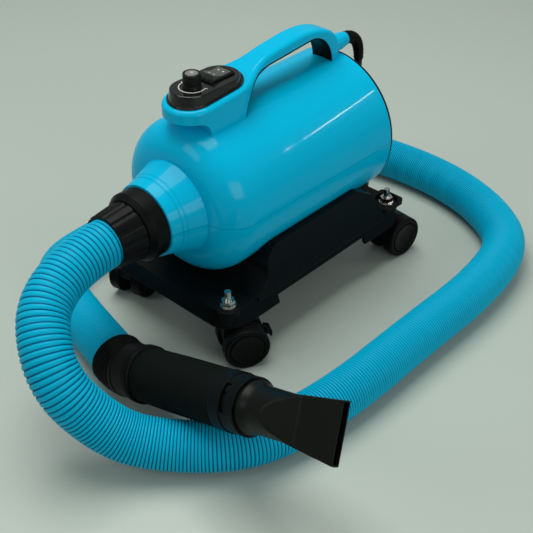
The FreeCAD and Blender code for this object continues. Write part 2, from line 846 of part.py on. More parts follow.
def make_brushes():
    x = BRUSH_X
    holder = drum_block(x, (COMMUTATOR_R + 3, FRAME_POST[0] - TOUCH), (-BRUSH_HALF, BRUSH_HALF))
    brush = drum_block(
        (x[0] + 2, x[1] - 2),
        (COMMUTATOR_R + FIT, COMMUTATOR_R + 4),
        (-BRUSH_HALF + 2, BRUSH_HALF - 2),
    )
    brush = brush.cut(rod(COMMUTATOR_R + FIT, (x[0], 0, AXIS_Z), (x[1], 0, AXIS_Z)))
    holder = joined([holder, brush])
    return {"brush_holders": group([holder, mirrored_y(holder)])}


def make_fan_case():
    x0, x1 = FAN_COVER_X
    cup = drum_ring(FAN_COVER_R - FAN_COVER_T, FAN_COVER_R, x0, x1)
    wall = drum_ring(FAN_INLET_R, FAN_COVER_R, x1 - FAN_COVER_T, x1)
    inner = FAN_COVER_R - FAN_COVER_T - FIT
    d0, d1 = DIFFUSER_X
    rim = drum_ring(inner - DIFFUSER_RIM, inner, x0, d1)
    disc = drum_ring(SHAFT_R + 4, inner, d0 + 2, d0 + 5)
    slot = drum_block((d0, d1), (-4, 4), DIFFUSER_SLOT_R)
    disc = disc.cut([about_axis(slot, 360.0 * i / DIFFUSER_SLOTS) for i in range(DIFFUSER_SLOTS)])
    ring = drum_ring(FAN_COVER_R + FIT, INNER_R - FIT, *MOUNT_RING_X)
    notch_x = (MOUNT_RING_X[0] - 1, MOUNT_RING_X[1] - 5)
    notch = drum_block(notch_x, (-5, 5), (FAN_COVER_R + 5, BODY_R))
    ring = ring.cut([about_axis(notch, 360.0 * (i + 0.5) / MOUNT_NOTCHES) for i in range(MOUNT_NOTCHES)])
    return {
        "fan_cover": joined([cup, wall]),
        "fan_diffuser": joined([rim, disc]),
        "motor_mount_ring": ring,
    }


def handle_side(lift=0.0):
    """The side outline of pod and handle, raised by lift."""

    def at(x, z):
        return V(x, 0, z + lift)

    deck = (DECK_END[0] - POD_FRONT_X, DECK_END[1] - POD_DECK_Z)
    return outline(
        at,
        (POD_FRONT_X, POD_UNDER_Z),
        (POD_FRONT_X, POD_DECK_Z),
        DECK_END,
        [deck, ARCH_CREST, ARCH_WAY],
        [ARCH_WAY, ARCH_BACK, ARCH_FALL, ARCH_END, (0, -1)],
        (HANDLE_REAR_X, HANDLE_FOOT_Z),
        (FOOT_FRONT_X, HANDLE_FOOT_Z),
        (FOOT_FRONT_X, FOOT_TOP_Z),
        FOOT_ARC,
    )


def handle_plan(inset=0.0):
    """The plan outline of pod and handle, drawn in by inset."""
    half = POD_HALF - inset
    slim = HANDLE_HALF - inset
    nose_x = POD_FRONT_X + POD_HALF
    rear_x = HANDLE_REAR_X + 5 if inset == 0 else HANDLE_REAR_X - inset
    return outline(
        at_plan,
        (nose_x, half),
        (POD_TAPER_X, half),
        [(1, 0), (HANDLE_TAPER_X, slim), (1, 0)],
        (rear_x, slim),
        (rear_x, -slim),
        (HANDLE_TAPER_X, -slim),
        [(-1, 0), (POD_TAPER_X, -half), (-1, 0)],
        (nose_x, -half),
        ((nose_x - half, 0), (nose_x, half)),
    )


def finger_gap():
    """The side outline of the opening under the handle."""
    return outline(
        at_side,
        (FOOT_BACK_X, HANDLE_FOOT_Z),
        (FOOT_BACK_X, FOOT_TOP_Z),
        GAP_FRONT_ARC,
        GAP_RISE_ARC,
        GAP_TOP_END,
        GAP_FALL_ARC,
        GAP_REAR_ARC,
        (GAP_REAR_X, HANDLE_FOOT_Z),
    )


def make_handle():
    high = ARCH_BACK[1] + 10
    solid = slab(handle_side(), POD_HALF + 5).common(prism(handle_plan(), HANDLE_FOOT_Z - 5, high))
    edges = []
    for edge in solid.Edges:
        box = edge.BoundBox
        above = box.ZMax > POD_DECK_Z - 1 and box.XLength > 0.01
        behind = box.XMin > GAP_REAR_X and box.ZLength > 1
        if above or behind:
            edges.append(edge)
    solid = solid.makeFillet(HANDLE_EDGE, edges)

    gap = finger_gap()
    channel = gap.makeOffset2D(LINER_DEPTH)
    inside = prism(handle_plan(WALL), HANDLE_FOOT_Z - 20, high)
    liner_room = slab(channel, POD_HALF + 5).common(inside)
    liner_room = liner_room.common(slab(handle_side(-WALL), POD_HALF + 10))
    solid = solid.cut(slab(gap, POD_HALF + 5)).cut(liner_room)

    cavity_side = outline(
        at_side,
        (POD_FRONT_X + WALL, POD_UNDER_Z + WALL),
        (POD_FRONT_X + WALL, POD_DECK_Z - WALL),
        (FOOT_BACK_X - LINER_DEPTH - WALL, DECK_END[1] - WALL - 1.2),
        (FOOT_BACK_X - LINER_DEPTH - WALL, HANDLE_FOOT_Z - 5),
        (FOOT_FRONT_X + WALL, HANDLE_FOOT_Z - 5),
        (FOOT_FRONT_X + WALL, CAVITY_STEP[1]),
        (CAVITY_STEP[0], POD_UNDER_Z + WALL),
    )
    solid = solid.cut(slab(cavity_side, POD_HALF + 5).common(inside))
    solid = solid.cut(prism(stadium(PANEL_BASE_R - 2 * WALL - 1), POD_UNDER_Z + WALL, high))
    drum = rod(BODY_R + TOUCH, (-150, 0, AXIS_Z), (150, 0, AXIS_Z))
    solid = solid.cut(drum)
    hole_x = (GAP_REAR_X + LINER_DEPTH, HANDLE_REAR_X + 1)
    solid = solid.cut(rod(GLAND_SPIGOT_R + TOUCH, (hole_x[0], 0, GLAND_Z), (hole_x[1], 0, GLAND_Z)))

    proud = gap.makeOffset2D(-LINER_PROUD)
    lining = slab(gap.makeOffset2D(LINER_DEPTH - FIT), POD_HALF + 5).cut(slab(proud, POD_HALF + 10))
    lining = lining.common(prism(handle_plan(WALL + FIT), HANDLE_FOOT_Z - 5, high)).cut(drum)
    lining = lining.common(slab(handle_side(-WALL - FIT), POD_HALF + 10))
    lining = lining.cut(block((-200, 200), (-60, 60), (0, HANDLE_FOOT_Z + 1)))
    return {"handle": solid, "handle_liner": lining}


def stadium(radius):
    """The panel's plan outline: two round ends joined by straight sides."""
    return outline(
        at_plan,
        (PANEL_FRONT_X, radius),
        (PANEL_BACK_X, radius),
        ((PANEL_BACK_X + radius, 0), (PANEL_BACK_X, -radius)),
        (PANEL_FRONT_X, -radius),
        ((PANEL_FRONT_X - radius, 0), (PANEL_FRONT_X, radius)),
    )


def stadium_block(low_r, low_z, high_r, high_z):
    """A panel-shaped block that narrows upwards."""
    wires = []
    for radius, z in ((low_r, low_z), (high_r, high_z)):
        wires.append(stadium(radius).OuterWire.translated(V(0, 0, z)))
    return Part.makeLoft(wires, True, True)


def make_panel():
    body = stadium_block(PANEL_BASE_R, PANEL_BASE_Z, PANEL_TOP_R, PANEL_TOP_Z)
    top = [e for e in body.Edges if e.BoundBox.ZMin > PANEL_TOP_Z - 0.01]
    body = body.makeFillet(PANEL_EDGE, top)
    hollow = stadium_block(
        PANEL_BASE_R - PANEL_WALL,
        PANEL_BASE_Z - 1,
        PANEL_TOP_R - PANEL_WALL,
        PANEL_TOP_Z - PANEL_WALL,
    )
    wide = POD_HALF + 10
    lip = prism(stadium(LIP_R), PANEL_BASE_Z, PANEL_TOP_Z).common(slab(handle_side(LIP_T), wide))
    panel = joined([body, lip]).cut(hollow).cut(slab(handle_side(TOUCH), wide))
    panel = panel.cut(rod(POT_BUSH_R + RUN, (KNOB_X, 0, PANEL_BASE_Z), (KNOB_X, 0, PANEL_TOP_Z + 5)))
    hole_x = SWITCH_POCKET_X + SWITCH_WALL + TOUCH
    hole_y = ROCKER_HALF_Y + FIT + SWITCH_WALL + TOUCH
    hole = block(
        (ROCKER_X - hole_x, ROCKER_X + hole_x),
        (-hole_y, hole_y),
        (PANEL_BASE_Z, PANEL_TOP_Z + 5),
    )
    return {"control_panel": panel.cut(hole)}


def make_knob():
    low = PANEL_TOP_Z + FIT
    knob = Part.makeCone(KNOB_BASE_R, KNOB_R, 3.0, V(KNOB_X, 0, low))
    knob = knob.fuse(rod(KNOB_R, (KNOB_X, 0, low + 3.0), (KNOB_X, 0, KNOB_TOP_Z)))
    rim = [e for e in knob.Edges if e.BoundBox.ZMin > KNOB_TOP_Z - 0.01]
    knob = knob.makeFillet(0.8, rim)
    flutes = []
    for i in range(KNOB_FLUTES):
        angle = 2 * math.pi * i / KNOB_FLUTES
        x = KNOB_X + KNOB_R * math.cos(angle)
        y = KNOB_R * math.sin(angle)
        flutes.append(rod(KNOB_FLUTE_R, (x, y, low + 3.5), (x, y, KNOB_TOP_Z - 1.5)))
    knob = knob.cut(flutes)
    floor = KNOB_TOP_Z - KNOB_CAP_T - TOUCH
    knob = knob.cut(rod(KNOB_CAP_R + TOUCH, (KNOB_X, 0, floor), (KNOB_X, 0, KNOB_TOP_Z + 1)))
    stem_z = PANEL_TOP_Z - PANEL_WALL
    stem = rod(KNOB_STEM_R, (KNOB_X, 0, stem_z), (KNOB_X, 0, low + 1))
    knob = joined([knob, stem])
    cap = rod(KNOB_CAP_R, (KNOB_X, 0, floor + TOUCH), (KNOB_X, 0, KNOB_TOP_Z - 0.2))
    pot_z = stem_z - TOUCH
    pot = rod(POT_R, (KNOB_X, 0, pot_z - POT_LENGTH), (KNOB_X, 0, pot_z))
    bush = rod(POT_BUSH_R, (KNOB_X, 0, pot_z - 1), (KNOB_X, 0, PANEL_TOP_Z - TOUCH))
    pot = joined([pot, bush])
    pot = pot.cut(rod(KNOB_STEM_R + RUN, (KNOB_X, 0, stem_z - 1), (KNOB_X, 0, PANEL_TOP_Z + 1)))
    return {"speed_knob": knob, "knob_cap": cap, "speed_potentiometer": pot}


def make_rocker():
    def at(x, z):
        return V(ROCKER_X + x, 0, ROCKER_Z + z)

    half = ROCKER_HALF_X
    button = outline(
        at,
        (-half, 1.0),
        (-half, ROCKER_END),
        (0, ROCKER_MID),
        (half, ROCKER_END),
        (half, 1.0),
        (half - 5, -4.5),
        (-half + 5, -4.5),
    )
    button = slab(button, ROCKER_HALF_Y)
    pivot = (ROCKER_X, ROCKER_Z)
    reach = ROCKER_HALF_Y + FIT + SWITCH_WALL
    pin = rod(ROCKER_PIN_R, (pivot[0], -reach, pivot[1]), (pivot[0], reach, pivot[1]))
    button = joined([button, pin])
    button.rotate(V(ROCKER_X, 0, ROCKER_Z), V(0, 1, 0), ROCKER_REST)

    wall_x = SWITCH_POCKET_X + SWITCH_WALL
    wall_y = ROCKER_HALF_Y + FIT + SWITCH_WALL
    top = PANEL_TOP_Z + TOUCH
    low = top - SWITCH_DEPTH
    case = block((ROCKER_X - wall_x, ROCKER_X + wall_x), (-wall_y, wall_y), (low, top))
    pocket = block(
        (ROCKER_X - SWITCH_POCKET_X, ROCKER_X + SWITCH_POCKET_X),
        (-wall_y + SWITCH_WALL, wall_y - SWITCH_WALL),
        (ROCKER_Z - 9, top + 1),
    )
    case = case.cut(pocket)
    hole = rod(ROCKER_PIN_R + RUN, (pivot[0], -20, pivot[1]), (pivot[0], 20, pivot[1]))
    case = case.cut(hole)
    terminals = []
    for x in (-8.0, 8.0):
        terminals.append(block((ROCKER_X + x - 3, ROCKER_X + x + 3), (-0.4, 0.4), (low - 6, low + 0.5)))
    case = joined([case] + terminals)

    bezel = block(
        (ROCKER_X - BEZEL_X, ROCKER_X + BEZEL_X),
        (-BEZEL_Y, BEZEL_Y),
        (top + TOUCH, top + TOUCH + BEZEL_T),
    )
    edges = [e for e in bezel.Edges if e.BoundBox.ZLength > 1]
    bezel = bezel.makeFillet(2.0, edges)
    window = block(
        (ROCKER_X - SWITCH_POCKET_X, ROCKER_X + SWITCH_POCKET_X),
        (-wall_y + SWITCH_WALL, wall_y - SWITCH_WALL),
        (top - 1, top + 5),
    )
    return {"rocker_button": button, "power_switch": case, "rocker_frame": bezel.cut(window)}


def make_board():
    x0, x1 = BOARD_X
    top = BOARD_Z + BOARD_T
    board = block((x0, x1), (-BOARD_HALF, BOARD_HALF), (BOARD_Z, top))
    high = top + BOARD_PART_H
    parts_x = (x0 + SINK_X[0], x0 + SINK_X[1])
    choke_x = x0 + 2 * CHOKE_R
    choke_y = -2 * CHOKE_R
    choke = rod(CHOKE_R, (choke_x, choke_y, top - 0.5), (choke_x, choke_y, high))
    sink = block(parts_x, SINK_Y, (top - 0.5, high))
    relay = block(parts_x, RELAY_Y, (top - 0.5, high))
    return {"control_board": joined([board, choke, sink, relay])}


def make_gland():
    start = HANDLE_REAR_X + FIT
    faces = []
    for i in range(GLAND_SIDES):
        angle = 2 * math.pi * (i + 0.5) / GLAND_SIDES
        faces.append(V(start, GLAND_R * math.cos(angle), GLAND_Z + GLAND_R * math.sin(angle)))
    nut = Part.Face(Part.makePolygon(faces + faces[:1])).extrude(V(GLAND_END_X - start, 0, 0))
    dome_x = GLAND_END_X - GLAND_DOME
    dome = Part.makeCone(GLAND_R + 1.5, GLAND_R - 2, GLAND_DOME, V(dome_x, 0, GLAND_Z), V(1, 0, 0))
    body = rod(GLAND_R + 2, (start, 0, GLAND_Z), (GLAND_END_X - GLAND_DOME / 2, 0, GLAND_Z))
    nut = nut.common(joined([dome, body]))
    hole_start = GAP_REAR_X + LINER_DEPTH
    spigot = rod(GLAND_SPIGOT_R, (hole_start + FIT, 0, GLAND_Z), (start + 1, 0, GLAND_Z))
    gland = joined([nut, spigot])
    bore_x = GLAND_END_X - GLAND_BORE
    gland = gland.cut(rod(BOOT_SPIGOT_R + TOUCH, (bore_x, 0, GLAND_Z), (GLAND_END_X + 1, 0, GLAND_Z)))

    rings = []
    steps = 6
    centre = V(GLAND_END_X + TOUCH, 0, GLAND_Z - BOOT_BEND_R)
    for i in range(steps + 1):
        angle = math.pi / 2 * i / steps
        point = centre + V(math.sin(angle), 0, math.cos(angle)) * BOOT_BEND_R
        way = V(math.cos(angle), 0, -math.sin(angle))
        radius = BOOT_START_R + (BOOT_END_R - BOOT_START_R) * i / (steps + 1)
        rings.append(Part.Wire([Part.makeCircle(radius, point, way)]))
    end = centre + V(BOOT_BEND_R, 0, -BOOT_TAIL)
    rings.append(Part.Wire([Part.makeCircle(BOOT_END_R, end, V(0, 0, -1))]))
    bend = Part.makeLoft(rings, True, False)
    plug = rod(BOOT_SPIGOT_R, (bore_x + FIT, 0, GLAND_Z), (GLAND_END_X + 1, 0, GLAND_Z))
    return {"cord_gland": gland, "cord_boot": joined([bend, plug])}


def rounded(half_x, half_y, radius):
    """A plan rectangle with round corners."""
    face = outline(at_plan, (-half_x, -half_y), (half_x, -half_y), (half_x, half_y), (-half_x, half_y))
    solid = prism(face, 0, 1)
    edges = [e for e in solid.Edges if e.BoundBox.ZLength > 0.5]
    solid = solid.makeFillet(radius, edges)
    for face in solid.Faces:
        if face.BoundBox.ZMax < 0.01:
            return face.OuterWire


def base_solid(inset, lower):
    """The base's outer form, drawn in by inset and lowered by lower."""
    low = rounded(BASE_LOW_X - inset, BASE_LOW_Y - inset, BASE_CORNER_LOW - inset)
    high = rounded(BASE_TOP_X - inset, BASE_TOP_Y - inset, BASE_CORNER_TOP - inset)
    wires = [low.translated(V(0, 0, BASE_LOW_Z - lower)), high.translated(V(0, 0, DECK_Z - lower))]
    tray = Part.makeLoft(wires, True, True)
    top = WING_TOP_Z - lower
    foot0, foot1 = WING_FOOT_X[0] + inset, WING_FOOT_X[1] - inset
    front, back = WING_X[0] + inset, WING_X[1] - inset
    middle = ((foot0 + front) / 2, (DECK_Z + WING_TOP_Z) / 2 - lower)
    rise = WING_TOP_Z - DECK_Z
    length = front - foot0
    side = outline(
        at_side,
        (foot0, DECK_Z - lower - 5),
        (foot0, DECK_Z - lower),
        ((foot0 + 0.31 * length, DECK_Z - lower + 0.15 * rise), middle),
        ((front - 0.31 * length, top - 0.15 * rise), (front, top)),
        (back, top),
        (back + (foot1 - back) * 0.57, top - 0.28 * rise),
        (foot1, PAD_Z - lower),
        (foot1, DECK_Z - lower - 5),
    )
    low_y = BASE_LOW_Y - inset
    lean = (BASE_LOW_Y - WING_TOP_Y) / (WING_TOP_Z - BASE_LOW_Z)
    section = outline(
        at_section,
        (-low_y, BASE_LOW_Z - lower),
        (low_y, BASE_LOW_Z - lower),
        (low_y - lean * (WING_TOP_Z - BASE_LOW_Z), top),
        (-low_y + lean * (WING_TOP_Z - BASE_LOW_Z), top),
    )
    long = section.translated(V(-BASE_LOW_X, 0, 0)).extrude(V(2 * BASE_LOW_X, 0, 0))
    wings = slab(side, BASE_LOW_Y).common(long)
    solid = joined([tray, wings])
    cradle = rod(BODY_R + FIT + lower, (-200, 0, AXIS_Z), (200, 0, AXIS_Z))
    return solid.cut(cradle)


def stud_places():
    return [(sx * STUD_X, sy * STUD_Y) for name, sx, sy, yaw in CASTERS]


def make_base():
    form = base_solid(0.0, 0.0)
    pads = []
    for side in (-1, 1):
        y = sorted((side * PAD_Y[0], side * PAD_Y[1]))
        pad = block((PAD_X, BASE_TOP_X + 1.5), y, (DECK_Z - 1, PAD_Z))
        upright = [e for e in pad.Edges if e.BoundBox.ZLength > 1]
        pads.append(pad.makeFillet(6.0, upright))
    inside = base_solid(BASE_WALL, BASE_WALL)
    parts = [form.cut(inside)] + pads
    ribs = []
    for x, y in stud_places():
        parts.append(rod(BOSS_R, (x, y, BOSS_Z), (x, y, DECK_Z - 1)))
        for half_x, half_y in ((BOSS_RIB, RIB_T / 2), (RIB_T / 2, BOSS_RIB)):
            height = (BOSS_Z + 2, DECK_Z - 1)
            ribs.append(block((x - half_x, x + half_x), (y - half_y, y + half_y), height))
    height = (SKIRT_MID_Z, WING_TOP_Z)
    for x in RIB_X:
        ribs.append(block((x - RIB_T / 2, x + RIB_T / 2), (-BASE_LOW_Y, BASE_LOW_Y), height))
    for y in RIB_Y:
        ribs.append(block((-BASE_LOW_X, BASE_LOW_X), (y - RIB_T / 2, y + RIB_T / 2), height))
    parts += [rib.common(inside) for rib in ribs]
    base = joined(parts)
    lift = block((-SKIRT_MID_X, SKIRT_MID_X), (-BASE_LOW_Y - 5, BASE_LOW_Y + 5), (0, SKIRT_MID_Z))
    base = base.cut(lift)
    for x, y in stud_places():
        base = base.cut(rod(STUD_R + 2 * RUN, (x, y, 0), (x, y, PAD_Z + 5)))
        base = base.cut(rod(POCKET_R, (x, y, DECK_Z), (x, y, PAD_Z + 5)))
    for x in BASE_SCREW_X:
        base = base.cut(rod(BASE_SCREW_R + 2 * RUN, (x, 0, 0), (x, 0, DECK_Z + 5)))
    return {"rolling_base": base}


def make_studs():
    studs = []
    nuts = []
    end_z = DECK_Z + WASHER_T + NUT_T + 1
    for x, y in stud_places():
        body = rod(STUD_R, (x, y, STUD_LOW_Z), (x, y, end_z))
        studs.append(joined([body, rod(STUD_END_R, (x, y, end_z - 1), (x, y, STUD_TOP_Z))]))
        low = DECK_Z + TOUCH
        hole = rod(STUD_R + TOUCH, (x, y, low - 1), (x, y, STUD_TOP_Z))
        nuts.append(rod(WASHER_R, (x, y, low), (x, y, low + WASHER_T)).cut(hole))
        corners = []
        for i in range(6):
            angle = math.pi * i / 3
            corners.append(V(x + NUT_R * math.cos(angle), y + NUT_R * math.sin(angle), low + WASHER_T))
        nut = Part.Face(Part.makePolygon(corners + corners[:1])).extrude(V(0, 0, NUT_T))
        nuts.append(nut.cut(hole).translated(V(0, 0, TOUCH)))
    return {"caster_studs": group(studs), "stud_nuts": group(nuts)}


def fork_shape(braked):
    """A caster's fork, with the stud's axis at the origin and the wheels trailing to +X."""
    neck_z = FORK_TOP_Z - FORK_FLANGE_T
    arc = [
        (TRAIL + WHEEL_R * math.sin(math.radians(a)), WHEEL_Z + WHEEL_R * math.cos(math.radians(a)))
        for a in (0, 25, 50)
    ]
    web = outline(
        at_side,
        (-FORK_HALF, neck_z),
        (FORK_HALF, neck_z),
        (FORK_HALF, arc[0][1]),
        arc[0],
        (arc[1], arc[2]),
        (34.5, 28.5),
        (TRAIL + 8, 17.0),
        ((TRAIL, 14.0), (TRAIL - 8, 17.0)),
        (-FORK_HALF, 30.0),
    )
    web = slab(web, FORK_HALF)
    flange = rod(FORK_FLANGE_R, (0, 0, neck_z - 1), (0, 0, FORK_TOP_Z))
    fork = joined([web, flange])
    fork = fork.cut(rod(STUD_R + 2 * RUN, (0, 0, STUD_LOW_Z - FIT), (0, 0, FORK_TOP_Z + 1)))
    fork = fork.cut(rod(AXLE_R + RUN, (TRAIL, -20, WHEEL_Z), (TRAIL, 20, WHEEL_Z)))
    if braked:
        slot = BRAKE_ARM_HALF + FIT
        fork = fork.cut(block((BRAKE_SLOT[0], 60), (-slot, slot), (BRAKE_SLOT[1], 60)))
        x, z = BRAKE_PIVOT
        fork = fork.cut(rod(BRAKE_PIN_R + RUN, (x, -20, z), (x, 20, z)))
    return fork


def brake_shape():
    """The brake lever: an arm between the fork's ears and a foot pad behind the wheels."""
    x, z = BRAKE_PIVOT
    arm = outline(
        at_side,
        (x - 4.5, z - 3.5),
        (x - 4.5, z + 3.5),
        (x + 3, z + 4.5),
        (BRAKE_REACH - 5, z + 1.0),
        (BRAKE_REACH - 5, z - 2.5),
        (x + 3, z - 3.0),
    )
    pad = outline(
        at_side,
        (BRAKE_REACH - 6.5, z - 3.5),
        (BRAKE_REACH - 6.5, z + 1.5),
        (BRAKE_REACH, z - 1.0),
        (BRAKE_REACH, z - 7.0),
        (BRAKE_REACH - 2.5, z - 7.0),
        (BRAKE_REACH - 3.0, z - 3.5),
    )
    pin = rod(BRAKE_PIN_R, (x, -FORK_HALF, z), (x, FORK_HALF, z))
    return joined([slab(arm, BRAKE_ARM_HALF), slab(pad, BRAKE_PAD_HALF), pin])


def wheel_shape(side):
    """One wheel of a caster, on the given side of its fork."""
    low = WHEEL_GAP
    high = WHEEL_GAP + WHEEL_T

    def at(y, r):
        return V(TRAIL, side * y, WHEEL_Z + r)

    bore = AXLE_R + RUN
    face = outline(
        at,
        (low, bore),
        (low, WHEEL_R - 1.0),
        (low + 1.0, WHEEL_R),
        (high - WHEEL_EDGE, WHEEL_R),
        (
            (high - WHEEL_EDGE * (1 - HALF_SQUARE), WHEEL_R - WHEEL_EDGE * (1 - HALF_SQUARE)),
            (high, WHEEL_R - WHEEL_EDGE),
        ),
        (high - 0.5, WHEEL_R - 5.5),
        (high - WHEEL_RECESS, WHEEL_R - 6.5),
        (high - WHEEL_RECESS, WHEEL_HUB_R),
        (high - 0.3, WHEEL_HUB_R - 1.0),
        (high - 0.3, bore),
    )
    return face.revolve(V(TRAIL, 0, WHEEL_Z), V(0, 1, 0), 360)


def make_casters():
    made = {}
    axle = rod(AXLE_R, (TRAIL, -AXLE_HALF, WHEEL_Z), (TRAIL, AXLE_HALF, WHEEL_Z))
    for name, sx, sy, yaw in CASTERS:
        shapes = {
            "caster_fork_" + name: fork_shape(name in BRAKED),
            "caster_axle_" + name: axle.copy(),
            "wheel_" + name + "_a": wheel_shape(-1),
            "wheel_" + name + "_b": wheel_shape(1),
        }
        if name in BRAKED:
            shapes["brake_lever_" + name] = brake_shape()
        for node, shape in shapes.items():
            shape.rotate(V(0, 0, 0), V(0, 0, 1), yaw)
            shape.translate(V(sx * STUD_X, sy * STUD_Y, 0))
            made[node] = shape
    return made


def bellows_points():
    """The start, the corner and the end of the bellows' middle line."""
    end = V(*HOSE_POINTS[-1])
    hose_way = (end - V(*HOSE_POINTS[-2])).normalize()
    corner = end + hose_way * (BELLOWS_LENGTH / 2)
    start = corner + V(*WAND_DIRECTION).normalize() * (BELLOWS_LENGTH / 2)
    return end + hose_way * TOUCH, corner, start


def on_wand(shape):
    """A shape made along +Z from the wand's start, put where the wand is."""
    way = V(*WAND_DIRECTION).normalize()
    across = V(0, 0, 1).cross(way).normalize()
    copy = shape.copy()
    rotation = FreeCAD.Rotation(across, way.cross(across), way, "ZXY")
    turn = FreeCAD.Placement(bellows_points()[-1], rotation)
    copy.Placement = turn.multiply(copy.Placement)
    return copy


def along(distance):
    """A distance along the wand, counted from the end of its bellows."""
    return distance - BELLOWS_LENGTH


def wand_tube(inner, outer, start, end):
    tube = rod(outer, (0, 0, along(start)), (0, 0, along(end)))
    return tube.cut(rod(inner, (0, 0, along(start) - 1), (0, 0, along(end) + 1)))


def sector(radius, low, high, first, last):
    """A wedge of a disc between two heights and two angles."""
    wedge = Part.makeCylinder(radius, high - low, V(0, 0, low), V(0, 0, 1), last - first)
    wedge.rotate(V(0, 0, 0), V(0, 0, 1), first)
    return wedge


def make_wand():
    route = Route(bellows_points())
    bellows = ribbed(route, BELLOWS_RIBS, BELLOWS_R, BELLOWS_ROOT_R, WAND_BORE_R)
    band = wand_tube(WAND_BORE_R, BELLOWS_R, BELLOWS_LENGTH, BAND_END)
    ring = wand_tube(WAND_BORE_R, CUFF_RING_R, BAND_END, RING_END)
    seat = rod(WAND_TUBE_R + TOUCH, (0, 0, along(BAND_END)), (0, 0, along(RING_END) + 1))
    tip = on_wand(joined([band, ring]).cut(seat))
    cuff = joined([bellows, tip])

    grip = wand_tube(WAND_TUBE_R + TOUCH, GRIP_R, RING_END + TOUCH, GRIP_END - TOUCH)

    tube = wand_tube(WAND_BORE_R, WAND_TUBE_R, BAND_END + TOUCH, GRIP_END + 1)
    collar = wand_tube(WAND_BORE_R, COLLAR_R, GRIP_END, COLLAR_END)
    rim = wand_tube(COLLAR_R - 1, COLLAR_RIM_R, GRIP_END, COLLAR_RIM_END)
    collar = joined([tube, collar, rim])
    seat_z = along(COLLAR_END - COLLAR_SEAT)
    collar = collar.cut(rod(COLLAR_BORE_R, (0, 0, seat_z), (0, 0, along(COLLAR_END) + 1)))
    slot_low = along(COLLAR_END - LUG_SEAT)
    slot_high = slot_low + 2 * LUG_HALF
    for base in (LUG_ANGLE, LUG_ANGLE + 180):
        low = slot_low - FIT
        high = slot_high + FIT
        last = base + TWIST_SPAN + SLOT_SPAN
        run = sector(COLLAR_RIM_R + 2, low, high, base - SLOT_SPAN, last)
        mouth = along(COLLAR_END) + 1
        entry = sector(ENTRY_R, low, mouth, base + TWIST_SPAN - SLOT_SPAN, last)
        keep = rod(COLLAR_BORE_R - 1, (0, 0, low - 1), (0, 0, along(COLLAR_END) + 2))
        collar = collar.cut(joined([run, entry]).cut(keep))

    spigot_r = COLLAR_BORE_R - FIT
    nozzle = nozzle_form(0.0, 0.0).cut(nozzle_form(NOZZLE_WALL, 1.0))
    base_start = COLLAR_END + FIT
    rings = [
        wand_tube(WAND_BORE_R, NOZZLE_BASE_R, base_start, NOZZLE_BASE_END + 1),
        wand_tube(WAND_BORE_R, spigot_r, COLLAR_END - COLLAR_SEAT + FIT, base_start + 1),
    ]
    lugs = []
    for base in (LUG_ANGLE, LUG_ANGLE + 180):
        lug = sector(LUG_R, slot_low, slot_high, base - LUG_SPAN, base + LUG_SPAN)
        lugs.append(lug.cut(rod(spigot_r - 1, (0, 0, slot_low - 1), (0, 0, slot_high + 1))))
    nozzle = joined([nozzle] + rings + lugs)
    return {
        "wand_cuff": cuff,
        "wand_grip": on_wand(grip),
        "wand_collar": on_wand(collar),
        "flat_nozzle": on_wand(nozzle),
    }


def nozzle_form(inset, overrun):
    """The nozzle's outer or inner form: a neck that flares to the mouth, cut flat on two sides.

    The overrun carries it on past both ends.
    """
    low = along(NOZZLE_BASE_END) - overrun
    high = along(NOZZLE_END) + overrun
    neck = [(r - inset, along(s)) for s, r in NOZZLE_NECK]
    mouth = (MOUTH_HALF_LONG - inset, high)
    side = outline(at_side, (0, low), (NOZZLE_BASE_R - inset, low), *neck, mouth, (0, high))
    round_form = side.revolve(V(0, 0, 0), V(0, 0, 1), 360)
    start = FLAT_START[1] - inset
    flat = [(start, low), (start, along(FLAT_START[0]))]
    flat += [(t - inset, along(s)) for s, t in FLAT_CREASES]
    flat.append((MOUTH_HALF_SHORT - inset, high))
    other = [(-t, z) for t, z in reversed(flat)]
    wedge = outline(at_side, *flat, *other)
    form = round_form.common(slab(wedge, MOUTH_HALF_LONG + 5))
    form.rotate(V(0, 0, 0), V(0, 0, 1), NOZZLE_ROLL - 90)
    return form


def coil_place(turn):
    """A point of the coil and its direction, at a number of turns from its start."""
    middle = COIL_TURNS / 2
    radius = COIL_R + COIL_STEP * (abs(turn - middle) - middle)
    climb = min(max((turn - middle) * 2 + 0.5, 0.0), 1.0)
    angle = math.pi - 2 * math.pi * turn
    start = V(*CORD_POINTS[-1])
    centre = start + V(COIL_R, 0, 0)
    return centre + V(radius * math.cos(angle), radius * math.sin(angle), climb * COIL_LAYER)


def coil_way(turn):
    """The coil's direction at a number of turns from its start."""
    if turn <= 0:
        return V(0, 1, 0)
    if turn >= COIL_TURNS:
        return V(0, -1, 0)
    step = 0.001
    return (coil_place(turn + step) - coil_place(turn - step)).normalize()


def biarc(p0, t0, p1, t1):
    """Two arcs that join two points and directions smoothly."""
    v = p1 - p0
    t = t0 + t1
    bend = 2 * (1 - t0.dot(t1))
    reach = (-v.dot(t) + math.sqrt(v.dot(t) ** 2 + bend * v.dot(v))) / bend
    joint = (p0 + t0 * reach + p1 - t1 * reach) * 0.5
    edges = []
    for start, corner, end in ((p0, p0 + t0 * reach, joint), (joint, p1 - t1 * reach, p1)):
        middle = (start + end) * 0.5
        half = (end - start).Length / 2
        rise = corner - middle
        half_turn = math.acos(min(1.0, half / reach))
        top = middle + rise.normalize() * (half * math.tan(half_turn / 2))
        edges.append(Part.Arc(start, top, end).toShape())
    return edges


